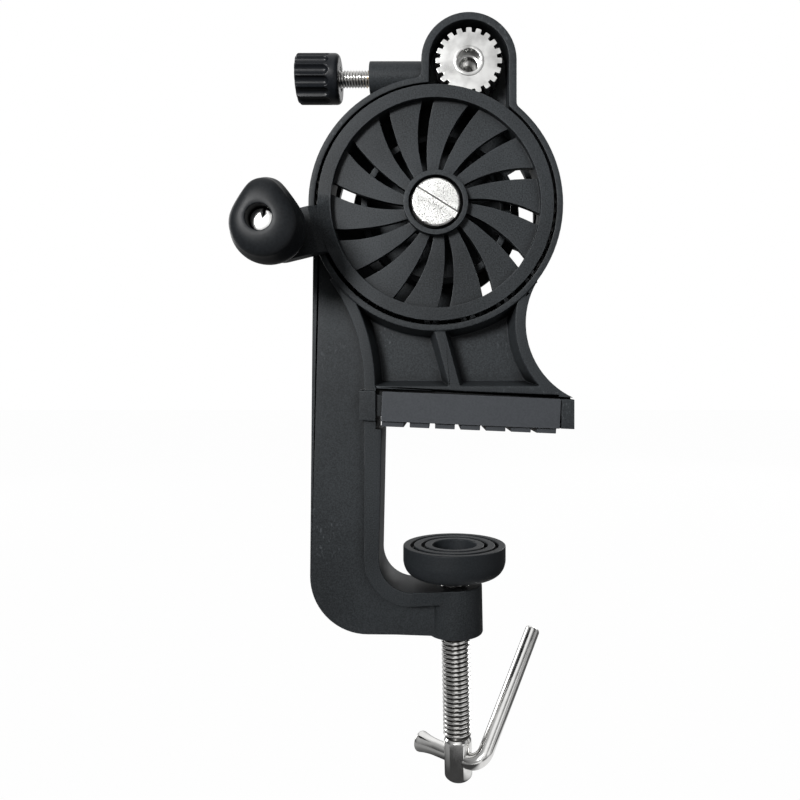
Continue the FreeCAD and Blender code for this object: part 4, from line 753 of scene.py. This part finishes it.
# Outlines with their distance from the lug's end: neck, flank, rounded end, and back down the bore.
seat = knob_circle(SLEEVE_SEAT)
neck = egg_outline(*knob_station(0.0))
shoulder = egg_outline(*knob_station(KNOB_SHOULDER))
lip = knob_circle(KNOB_BORE + 0.35)
knob_outlines = [(seat, 0.0)]
for share, along in ((0.10, 0.0), (0.04, 0.12), (0.0, 0.5)):
    knob_outlines.append((between(neck, seat, share), along))
for row in range(1, FLANK_ROWS + 1):
    along = KNOB_SHOULDER * row / FLANK_ROWS
    knob_outlines.append((egg_outline(*knob_station(along)), along))
for row in range(1, END_ROWS + 1):
    turn = math.radians(90.0 * row / END_ROWS)
    knob_outlines.append((between(shoulder, lip, 1 - math.cos(turn) ** 0.85),
                          KNOB_SHOULDER + (KNOB_LENGTH - KNOB_SHOULDER) * math.sin(turn)))
for inset, along in ((0.12, 0.08), (0.0, 0.35)):
    knob_outlines.append((knob_circle(KNOB_BORE + inset), KNOB_LENGTH - along))
knob_outlines += [(knob_circle(KNOB_BORE), KNOB_START - KNOB_SEAT), (seat, KNOB_START - KNOB_SEAT)]
knob_plastic = moulded_plastic("knob_plastic", (0.0115, 0.013, 0.0148), 0.20, 0.42, grain_mm=0.7,
                               grain_depth=0.012, edge_wear_and_highlight=0.4, gloss=0.16)
finished_piece("handle_knob", ring_mesh("handle_knob", [
    [(HANDLE_AXIS[0] + x, KNOB_START - along, HANDLE_AXIS[2] + z) for x, z in places]
    for places, along in knob_outlines]), "handle", knob_plastic, sharp=50.0)

handle_place = Matrix.Translation(HANDLE_AXIS) @ ALONG_Y
turned_piece("handle_sleeve", sleeve(SLEEVE_BORE, SLEEVE_SEAT, KNOB_SEAT, KNOB_START), 0.15, handle_place,
             "handle", bronze)
turned_piece("handle_washer", sleeve(SLEEVE_BORE, LUG_WASHER, SHANK_BACK - LUG_WASHER_THICK, SHANK_BACK),
             0.12, handle_place, "wheel", zinc)
bright_zinc = plated_steel("bright_zinc", (0.66, 0.66, 0.65), 0.30, tarnish=0.22)
handle_axle = turned_piece("handle_axle", [
    (0, HEAD_FRONT), (AXLE_HEAD, HEAD_FRONT + 0.3), (AXLE_HEAD, HEAD_BACK), (AXLE_SHANK, HEAD_BACK),
    (AXLE_SHANK, SHANK_BACK), (AXLE_THREAD, SHANK_BACK + 0.1), (AXLE_THREAD, NUT_BACK), (0, NUT_BACK)],
    0.3, handle_place, "wheel", bright_zinc)


def block_mesh(name, low, high):
    """A block between two loops of four corners each, in millimetres."""
    mesh = bpy.data.meshes.new(name)
    mesh.from_pydata([corner / 1000.0 for corner in (*low, *high)], [], [
        (0, 1, 2, 3), (7, 6, 5, 4), (0, 4, 5, 1), (1, 5, 6, 2), (2, 6, 7, 3), (3, 7, 4, 0)])
    return mesh


def cut_away(piece, **cutters):
    """Cut each cutter's shape out of a piece, as a drill or a mill does."""
    tools = []
    for name, mesh in cutters.items():
        tools.append(bpy.data.objects.new(name, mesh))
        scene.collection.objects.link(tools[-1])
        cut = piece.modifiers.new(name, "BOOLEAN")
        cut.operation = "DIFFERENCE"
        cut.object = tools[-1]
        cut.solver = "EXACT"
    apply_modifiers(piece)
    for tool in tools:
        bpy.data.objects.remove(tool)


# The head's driver slot, seen from the end as a short dark notch.
SLOT_HALF = 0.42
SLOT_INNER = 0.9
SLOT_OUTER = 4.5
SLOT_DEPTH = 1.3
slot_lean = Matrix.Rotation(math.radians(14), 4, "Y")
slot_corners = ((-SLOT_HALF, SLOT_INNER), (SLOT_HALF, SLOT_INNER),
                (SLOT_HALF, SLOT_OUTER), (-SLOT_HALF, SLOT_OUTER))
slot_ends = [[Vector(HANDLE_AXIS) + slot_lean @ Vector((across, depth, up)) for across, up in slot_corners]
             for depth in (HEAD_FRONT - 1.0, HEAD_FRONT + SLOT_DEPTH)]
cut_away(handle_axle, driver_slot=block_mesh("slot_cut", *slot_ends))
handle_axle.data.set_sharp_from_angle(angle=math.radians(40.0))
eased_copy("handle_nut", 0.2, "wheel", zinc)

# ---------------------------------------------------------------- pinion, spindle and bushes
# A zinc-plated steel pinion of twenty teeth, keyed to a hollow spindle that runs in two bronze bushes.
# A washer stands behind the pinion, and a collar with a set screw holds the spindle behind the tower.

PINION_AXIS = (5.510, 0.0, 121.457)
PINION_BORE = 5.0
PINION_FRONT = -10.6
PINION_BACK = -2.6
TEETH = 20
TOOTH_TIP = 11.0
TOOTH_ROOT = 9.5
TIP_HALF = 0.92 / TOOTH_TIP
ROOT_HALF = math.pi / TEETH - 0.58 / TOOTH_ROOT
TIP_EASE = 0.16
ROOT_EASE = 0.012
SPINDLE_WASHER = 8.0
SPINDLE_WASHER_THICK = 0.5
BUSH_BORE = 5.05
BUSH_OUTSIDE = 7.05
BUSH_LENGTH = 3.0
FRONT_BUSH = -2.0
REAR_BUSH = 11.0
pinion_place = Matrix.Translation(PINION_AXIS) @ ALONG_Y


def blunt_teeth(inset):
    """Outline of the stamped gear, drawn in by inset: short square teeth with narrow slots."""
    flank = TIP_EASE / TOOTH_TIP
    pattern = ((-math.pi / TEETH, TOOTH_ROOT), (-ROOT_HALF - ROOT_EASE, TOOTH_ROOT),
               (-ROOT_HALF, TOOTH_ROOT + 0.2), (-TIP_HALF, TOOTH_TIP - 0.2), (-TIP_HALF + flank, TOOTH_TIP),
               (0.0, TOOTH_TIP), (TIP_HALF - flank, TOOTH_TIP), (TIP_HALF, TOOTH_TIP - 0.2),
               (ROOT_HALF, TOOTH_ROOT + 0.2), (ROOT_HALF + ROOT_EASE, TOOTH_ROOT))
    return [(math.pi / 2 + 2 * math.pi * tooth / TEETH + off, radius - inset)
            for tooth in range(TEETH) for off, radius in pattern]


def gear_ring(depth, inset=0.0, bore=None):
    """The gear's outline at a depth, or its round bore with as many points."""
    return [(PINION_AXIS[0] + (bore or reach) * math.cos(turn), depth,
             PINION_AXIS[2] + (bore or reach) * math.sin(turn)) for turn, reach in blunt_teeth(inset)]


gear_rings = [gear_ring(PINION_FRONT, bore=PINION_BORE)]
gear_rings += [gear_ring(depth, inset) for inset, depth in (
    (TIP_EASE, PINION_FRONT), (0.05, PINION_FRONT + 0.05), (0.0, PINION_FRONT + TIP_EASE),
    (0.0, PINION_BACK - TIP_EASE), (TIP_EASE, PINION_BACK))]
gear_rings.append(gear_ring(PINION_BACK, bore=PINION_BORE))
finished_piece("pinion_gear", ring_mesh("pinion_gear", gear_rings), "pinion", bright_zinc,
               sharp=35.0)
for node, edge_mm in (("spindle", 0.12), ("pinion_key", 0.1)):
    eased_copy(node, edge_mm, "pinion", zinc)
turned_piece("spindle_washer", sleeve(PINION_BORE, SPINDLE_WASHER, PINION_BACK,
                                      PINION_BACK + SPINDLE_WASHER_THICK), 0.12, pinion_place,
             "pinion", zinc)
for node, start in (("spindle_front_bush", FRONT_BUSH), ("spindle_rear_bush", REAR_BUSH)):
    turned_piece(node, sleeve(BUSH_BORE, BUSH_OUTSIDE, start, start + BUSH_LENGTH), 0.2, pinion_place,
                 "frame", bronze)
for node, edge_mm in (("spindle_collar", 0.3), ("collar_screw", 0.15)):
    eased_copy(node, edge_mm, "pinion", zinc)

# ---------------------------------------------------------------- spool arbor
# Two black nylon cones centre the spool of line on the arbor. The back one slides, and a steel wing nut
# pushes it up.

COLLAR_END = 18.2
CONE_LENGTH = 11.0
CONE_RADIUS = 11.0
CONE_NOSE = 5.6
CONE_LIP = 2.0
ARBOR = 4.0
SPOOL_ROOM = 26.0
cone_start = COLLAR_END + 0.2
cone_finish = cone_start + CONE_LENGTH
loose_start = cone_finish + SPOOL_ROOM
loose_finish = loose_start + CONE_LENGTH
turned_piece("drive_cone", [
    (ARBOR, cone_start), (CONE_RADIUS, cone_start), (CONE_RADIUS, cone_start + CONE_LIP),
    (CONE_NOSE, cone_finish), (ARBOR, cone_finish)], 0.5, pinion_place,
    "pinion", wheel_nylon)
turned_piece("loose_cone", [
    (ARBOR + RUNNING_GAP, loose_start), (CONE_NOSE, loose_start), (CONE_RADIUS, loose_finish - CONE_LIP),
    (CONE_RADIUS, loose_finish), (ARBOR + RUNNING_GAP, loose_finish)], 0.5, pinion_place,
    "loose_cone", wheel_nylon)
eased_copy("spool_nut", 0.5, "spool_nut", zinc)

# ---------------------------------------------------------------- drag screw
# An M6 thumb screw with a fluted black knob runs in a brass insert and pushes a rubber shoe against
# the drum on the spindle.

DRAG_PLACE = (0.0, 4.0, 121.457)
ALONG_X = Matrix.Rotation(math.radians(90), 4, "Y")
DRAG_KNOB_END = -53.6
DRAG_KNOB_LENGTH = 15.0
DRAG_KNOB_RADIUS = 8.4
DRAG_SCREW = 2.95
DRAG_PITCH = 1.0
DRAG_THREAD_DEPTH = 0.55
FLUTES = 14
FLUTE_RADIUS = 1.7
FLUTE_CENTRE = DRAG_KNOB_RADIUS + 0.5
FLUTE_LENGTH = 10.0
FLUTE_POINTS = 18
DRUM = 6.0
SHOE_TRAVEL = 4.0
SHOE_LENGTH = 4.0
SHOE_GAP = 0.06
SHOE_TIP = PINION_AXIS[0] - DRUM - SHOE_TRAVEL - SHOE_GAP
SHOE_BACK = SHOE_TIP - SHOE_LENGTH
DRAG_INSERT = (-28.4, -18.4)
INSERT_WALL = 1.45
THREAD_STEPS = 10
THREAD_FLANK = 1.35
THREAD_FLAT = 0.12
THREAD_SEAM = 1e-6
THREAD_SLIVER = 1e-7


def threaded_rod(name, crest, pitch, depth, start, finish, placing, ends, segments=72):
    """A rod with a real screw thread between two distances; ends adds plain turned runs beyond it."""
    turns = math.ceil((finish - start) / pitch) + 1
    rows = (turns + 1) * THREAD_STEPS
    root = crest - depth

    def spot(row, segment):
        """One point of the winding skin: flanks with a narrow flat at the root and one on the crest."""
        raw = start + (row / THREAD_STEPS - 1 + segment / segments) * pitch
        along = min(max(raw, start), finish)
        phase = (raw / pitch - segment / segments - start / pitch) % 1.0
        tooth = min(1.0, max(0.0, THREAD_FLANK * (1 - abs(2 * phase - 1)) - THREAD_FLAT))
        fade = min(1.0, (along - start) / pitch, (finish - along) / pitch)
        radius = root + depth * tooth * max(fade, 0.0)
        turn = 2 * math.pi * segment / segments
        return placing @ Vector((radius * math.cos(turn), radius * math.sin(turn), along)) / 1000.0

    faces = []
    for row in range(rows):
        for segment in range(segments):
            if segment < segments - 1:
                faces.append((row * segments + segment, row * segments + segment + 1,
                              (row + 1) * segments + segment + 1, (row + 1) * segments + segment))
            elif row + THREAD_STEPS + 1 <= rows:
                faces.append((row * segments + segment, (row + THREAD_STEPS) * segments,
                              (row + THREAD_STEPS + 1) * segments, (row + 1) * segments + segment))
    points = [spot(row, segment) for row in range(rows + 1) for segment in range(segments)]
    mesh = bpy.data.meshes.new(name)
    mesh.from_pydata(points, [], faces)
    work = bmesh.new()
    work.from_mesh(mesh)
    for corners, ease in ends:
        extra = turned_mesh(f"{name}_end", corners, ease, placing, segments)
        work.from_mesh(extra)
        bpy.data.meshes.remove(extra)
    bmesh.ops.remove_doubles(work, verts=work.verts, dist=THREAD_SEAM)
    bmesh.ops.dissolve_degenerate(work, dist=THREAD_SLIVER, edges=work.edges)
    bmesh.ops.recalc_face_normals(work, faces=work.faces)
    work.to_mesh(mesh)
    work.free()
    return mesh


drag_place = Matrix.Translation(DRAG_PLACE) @ ALONG_X
nickel = plated_steel("nickel_plate", (0.92, 0.915, 0.90), 0.15, depth=0.0006, tarnish=0.10)
# Dark nickel that paints shade into the bottom of the threads.
thread_shade_nickel = plated_steel("nickel_thread_painted_shade", (0.07, 0.068, 0.065), 0.34, depth=0.001, tarnish=0.2)


def shade_thread(piece, placing, crest, depth, start, finish, valley=0.52):
    """Painted shade darkens the bottom of the thread; the crests stay bright."""
    piece.data.materials.append(thread_shade_nickel)
    back = placing.inverted()
    for face in piece.data.polygons:
        spot = back @ (face.center * 1000.0)
        if start < spot.z < finish and math.hypot(spot.x, spot.y) < crest - valley * depth:
            face.material_index = 1


drag_root = DRAG_SCREW - DRAG_THREAD_DEPTH
drag_tail = DRAG_KNOB_END + 4.0
drag_start, drag_finish = drag_tail + 0.5, SHOE_BACK - 1.0
drag_ends = [([(0, drag_tail), (drag_root, drag_tail), (drag_root, drag_start)], 0.1),
             ([(drag_root, drag_finish), (DRAG_SCREW - 0.9, SHOE_BACK - RUNNING_GAP),
              (0, SHOE_BACK - RUNNING_GAP)], 0.1)]
drag_screw = stand_in("drag_screw", threaded_rod("drag_screw", DRAG_SCREW, DRAG_PITCH, DRAG_THREAD_DEPTH,
                                                 drag_start, drag_finish, drag_place, drag_ends))
drag_screw.data.shade_smooth()
fit_piece(drag_screw, "drag_screw", "drag_screw", nickel)
shade_thread(drag_screw, drag_place, DRAG_SCREW, DRAG_THREAD_DEPTH, drag_start, drag_finish, valley=0.8)


def drag_knob_radius(along, turn):
    """Radius of the knob: rounded ends, and ball-ended flutes from the outer end."""
    from_outer = along - DRAG_KNOB_END
    from_inner = DRAG_KNOB_LENGTH - from_outer
    radius = DRAG_KNOB_RADIUS
    for distance, ease in ((from_outer, 1.0), (from_inner, 1.6)):
        if distance < ease:
            radius -= ease - math.sqrt(max(0.0, ease ** 2 - (ease - distance) ** 2))
    slot_radius = FLUTE_RADIUS
    beyond = from_outer - FLUTE_LENGTH
    if beyond > 0:
        slot_radius = math.sqrt(max(0.0, FLUTE_RADIUS ** 2 - beyond ** 2))
    step = 2 * math.pi / FLUTES
    off = (turn + step / 2) % step - step / 2
    beside = FLUTE_CENTRE * math.sin(off)
    if abs(beside) < slot_radius:
        radius = min(radius, FLUTE_CENTRE * math.cos(off) - math.sqrt(slot_radius ** 2 - beside ** 2))
    return radius


def drag_knob_ring(along, radius=None):
    """One ring of the knob, fluted where no radius is given."""
    ring_points = []
    for turn in around(FLUTES * FLUTE_POINTS):
        reach = drag_knob_radius(along, turn) if radius is None else radius
        ring_points.append((along, DRAG_PLACE[1] + reach * math.cos(turn),
                            DRAG_PLACE[2] + reach * math.sin(turn)))
    return ring_points


# Rings lie close together at the rounded ends of the knob and where the flutes run out.
KNOB_LEVELS = (0.0, 0.05, 0.15, 0.32, 0.6, 1.0, 3.0, 5.0, 7.0, 9.0, 10.0, 10.3, 10.6, 10.9, 11.2, 11.4, 11.55,
               11.7, 12.2, 12.8, 13.4, 13.8, 14.2, 14.55, 14.8, 14.92, 15.0)
knob_inner = DRAG_KNOB_END + DRAG_KNOB_LENGTH
fluted_rings = [drag_knob_ring(DRAG_KNOB_END + level) for level in KNOB_LEVELS]
fluted_rings += [drag_knob_ring(along, radius) for radius, along in (
    (DRAG_SCREW + 1.2, knob_inner), (DRAG_SCREW + 0.9, knob_inner - 0.3), (DRAG_SCREW, knob_inner - 0.5),
    (DRAG_SCREW, drag_tail), (0.0, drag_tail), (0.0, DRAG_KNOB_END + 0.5), (4.5, DRAG_KNOB_END + 0.5),
    (5.0, DRAG_KNOB_END))]
fluted_plastic = moulded_plastic("fluted_knob_plastic", (0.0085, 0.010, 0.0125), 0.18, 0.34, grain_mm=0.8,
                                 grain_depth=0.006, edge_wear_and_highlight=0.15, gloss=0.20)
finished_piece("drag_knob", ring_mesh("drag_knob", fluted_rings), "drag_screw", fluted_plastic,
               sharp=45.0)

turned_piece("drag_insert", sleeve(DRAG_SCREW + RUNNING_GAP, DRAG_SCREW + INSERT_WALL, *DRAG_INSERT), 0.2,
             drag_place, "frame", bronze)
shoe_rubber = moulded_plastic("shoe_rubber", (0.05, 0.05, 0.05), 0.2, 0.8, grain_mm=0.3, grain_depth=0.05)
shoe_radius = DRAG_SCREW - RUNNING_GAP
turned_piece("brake_shoe", [(0, SHOE_BACK), (shoe_radius, SHOE_BACK), (shoe_radius, SHOE_TIP), (0, SHOE_TIP)],
             0.4, drag_place, "brake_shoe", shoe_rubber)

# ---------------------------------------------------------------- clamp screw
# An M10 nickel-plated screw in a brass insert. Its lower end is plain, with a cross hole for the bar and
# a narrow milled flat, and its turned top holds the pad between a washer and a ring.

SCREW_LEAN = math.radians(1.15)
PAD_TOP = -40.3
PAD_BOTTOM = -51.1
PAD_WELL = 7.0
PAD_PLAY = 0.25
PAD_WASHER = 7.0
PAD_WASHER_THICK = 0.8
PAD_RING = 5.8
PAD_RING_TOP = 1.15
CLAMP_INSERT = (-69.4, -56.0)
CLAMP_INSERT_RADIUS = 7.2
CLAMP_SCREW = 4.95
CLAMP_PITCH = 1.5
THREAD_DEPTH = 0.85
THREAD_END = -106.5
SCREW_END = -120.8
STEM = 3.6
BAR_LEVEL = -113.5
BAR_PLAN = math.radians(40)
BAR_HOLE = 2.7
FLAT_TURN = math.radians(-99)
FLAT_DEPTH = 4.15
MILL_HALF = 4.0
MILL_REACH = 7.0
DRILL_REACH = 9.0
screw_place = Matrix.Rotation(-SCREW_LEAN, 4, "Y")
screw_top = PAD_BOTTOM - PAD_PLAY - PAD_WASHER_THICK
thread_top = screw_top - 0.4
thread_root = CLAMP_SCREW - THREAD_DEPTH
well_floor = PAD_TOP - PAD_WELL
stem_top = well_floor + 1.6
plain_end = CLAMP_SCREW - 0.2
bar_heading = Vector((math.cos(BAR_PLAN), -math.sin(BAR_PLAN), 0))
turned_stem = [(0, stem_top), (STEM, stem_top), (STEM, screw_top), (thread_root, screw_top),
               (thread_root, thread_top)]
turned_end = [(thread_root, THREAD_END), (plain_end, THREAD_END - 0.9), (plain_end, SCREW_END + 1.2),
              (CLAMP_SCREW - 1.4, SCREW_END), (0, SCREW_END)]
clamp_screw = stand_in("clamp_screw", threaded_rod(
    "clamp_screw", CLAMP_SCREW, CLAMP_PITCH, THREAD_DEPTH, THREAD_END, thread_top, screw_place,
    [(turned_stem, 0.2), (turned_end, 0.5)], segments=80))
drill_place = (screw_place @ Matrix.Translation((0, 0, BAR_LEVEL))
               @ bar_heading.to_track_quat("Z", "Y").to_matrix().to_4x4())
mill_place = screw_place @ Matrix.Rotation(FLAT_TURN, 4, "Z")
drill = turned_mesh("drill", [(0, -DRILL_REACH), (BAR_HOLE, -DRILL_REACH), (BAR_HOLE, DRILL_REACH),
                              (0, DRILL_REACH)], 0.0, drill_place, 48)
mill_corners = ((FLAT_DEPTH, MILL_HALF), (MILL_REACH, MILL_HALF),
                (MILL_REACH, -MILL_HALF), (FLAT_DEPTH, -MILL_HALF))
mill_ends = [[mill_place @ Vector((reach, across, up)) for reach, across in mill_corners]
             for up in (SCREW_END - 1.0, THREAD_END - 0.7)]
cut_away(clamp_screw, cross_hole=drill, flat=block_mesh("mill", *mill_ends))
clamp_screw.data.shade_smooth()
clamp_screw.data.set_sharp_from_angle(angle=math.radians(24.0))
fit_piece(clamp_screw, "clamp_screw", "clamp_screw", nickel)
shade_thread(clamp_screw, screw_place, CLAMP_SCREW, THREAD_DEPTH, THREAD_END, thread_top)
turned_piece("clamp_insert", sleeve(CLAMP_SCREW + RUNNING_GAP, CLAMP_INSERT_RADIUS, *CLAMP_INSERT), 0.3,
             screw_place, "frame", bronze)
turned_piece("pad_washer", sleeve(STEM + RUNNING_GAP, PAD_WASHER, screw_top, screw_top + PAD_WASHER_THICK),
             0.15, screw_place, "clamp_screw", zinc)
turned_piece("pad_ring", sleeve(STEM, PAD_RING, well_floor + PAD_PLAY, well_floor + PAD_RING_TOP), 0.15,
             screw_place, "clamp_screw", zinc)

# ---------------------------------------------------------------- clamp pad
# A round foot moulded in black nylon: a bowl below, and three flat rings round a well above.
# It swivels on the turned top of the screw.

PAD_RADIUS = 17.6
PAD_BORE = 3.7
PAD_FOOT = 9.4
WELL_RADIUS = 7.7
RIM_WALL = 2.4
GROOVE = 1.2
GROOVE_DEPTH = 2.2
RIM_HEIGHT = 5.2
BOWL_BULGE = 3.4
BOWL_STEPS = 13
pad_side = PAD_TOP - RIM_HEIGHT
groove_floor = PAD_TOP - GROOVE_DEPTH
pad_rim = PAD_RADIUS - RIM_WALL
ring_wall = (pad_rim - WELL_RADIUS - 2 * GROOVE) / 2
outer_ring = pad_rim - GROOVE
inner_ring = outer_ring - ring_wall - GROOVE
bowl_start, bowl_finish = Vector((PAD_FOOT, PAD_BOTTOM)), Vector((PAD_RADIUS, pad_side))
bowl_bend = (bowl_start + bowl_finish) / 2 + Vector((BOWL_BULGE, -BOWL_BULGE))
pad_section = [(PAD_BORE, PAD_BOTTOM), (PAD_FOOT, PAD_BOTTOM)]
for step in range(1, BOWL_STEPS):
    pad_section.append(tuple(rounded_between(bowl_start, bowl_bend, bowl_finish, step / BOWL_STEPS)))
pad_section += [(PAD_RADIUS, pad_side), (PAD_RADIUS, PAD_TOP), (pad_rim, PAD_TOP), (pad_rim, groove_floor),
                (outer_ring, groove_floor), (outer_ring, PAD_TOP), (outer_ring - ring_wall, PAD_TOP),
                (outer_ring - ring_wall, groove_floor), (inner_ring, groove_floor), (inner_ring, PAD_TOP),
                (WELL_RADIUS, PAD_TOP), (WELL_RADIUS, well_floor), (PAD_BORE, well_floor)]
pad_middle = (PAD_BOTTOM + well_floor) / 2
pad_place = Matrix.Translation((-pad_middle * math.sin(SCREW_LEAN), 0, 0))
pad_nylon = moulded_plastic("pad_nylon", (0.021, 0.024, 0.027), 0.18, 0.52, grain_mm=0.5, grain_depth=0.02,
                            edge_wear_and_highlight=0.6)
turned_piece("clamp_pad", pad_section, 0.45, pad_place, "clamp_pad", pad_nylon, sharp=50.0)

# ---------------------------------------------------------------- tommy bar
# A bent nickel-plated rod that slides in the screw's cross hole. One end is flared, so that it can't
# fall out, and the long leg is the handle.

BAR_RADIUS = 2.65
BAR_NEAR = 9.6
BAR_FAR = 17.6
BAR_ARM = 50.0
BAR_BEND = 5.0
BAR_FLARE = 3.6
FLARE_LENGTH = 8.0
FLARE_LIP = 1.1
FLARE_STEPS = 10
BEND_STEPS = 16
BAR_POINTS = 48
BAR_TILT = math.radians(43)
bar_side = Vector((math.sin(BAR_PLAN), math.cos(BAR_PLAN), 0))
bar_leg = Vector((0, 0, 1)) * math.cos(BAR_TILT) + bar_side * math.sin(BAR_TILT)
bar_across = bar_leg.cross(bar_heading)


def bar_ring(forward, up, heading, radius):
    """One ring of the bar, square to its middle line; heading is the line's angle from the cross hole."""
    middle = bar_heading * forward + bar_leg * up
    outward = bar_heading * math.sin(heading) - bar_leg * math.cos(heading)
    ring_points = []
    for turn in around(BAR_POINTS):
        spot = middle + (outward * math.cos(turn) + bar_across * math.sin(turn)) * radius
        ring_points.append(screw_place @ (spot + Vector((0, 0, BAR_LEVEL))))
    return ring_points


bar_rings = [bar_ring(along - BAR_FAR, 0, 0, radius) for radius, along in (
    (0.0, 0.0), (BAR_FLARE - 0.9, 0.0), (BAR_FLARE - 0.55, 0.05), (BAR_FLARE - 0.25, 0.25),
    (BAR_FLARE - 0.1, 0.6), (BAR_FLARE - 0.12, FLARE_LIP))]
for row in range(1, FLARE_STEPS + 1):
    share = row / FLARE_STEPS
    bar_rings.append(bar_ring(FLARE_LIP - BAR_FAR + (FLARE_LENGTH - FLARE_LIP) * share, 0, 0,
                              BAR_RADIUS + (BAR_FLARE - 0.12 - BAR_RADIUS) * (1 - share) ** 1.9))
for row in range(BEND_STEPS + 1):
    bend = math.radians(90 * row / BEND_STEPS)
    bar_rings.append(bar_ring(BAR_NEAR - BAR_BEND + BAR_BEND * math.sin(bend),
                              BAR_BEND - BAR_BEND * math.cos(bend), bend, BAR_RADIUS))
bar_rings += [bar_ring(BAR_NEAR, BAR_ARM - along, math.radians(90), BAR_RADIUS - inset) for inset, along in (
    (0.0, 1.0), (0.12, 0.5), (0.4, 0.15), (0.8, 0.0), (BAR_RADIUS, 0.0))]
finished_piece("tommy_bar", ring_mesh("tommy_bar", bar_rings), "tommy_bar", nickel, sharp=50.0)
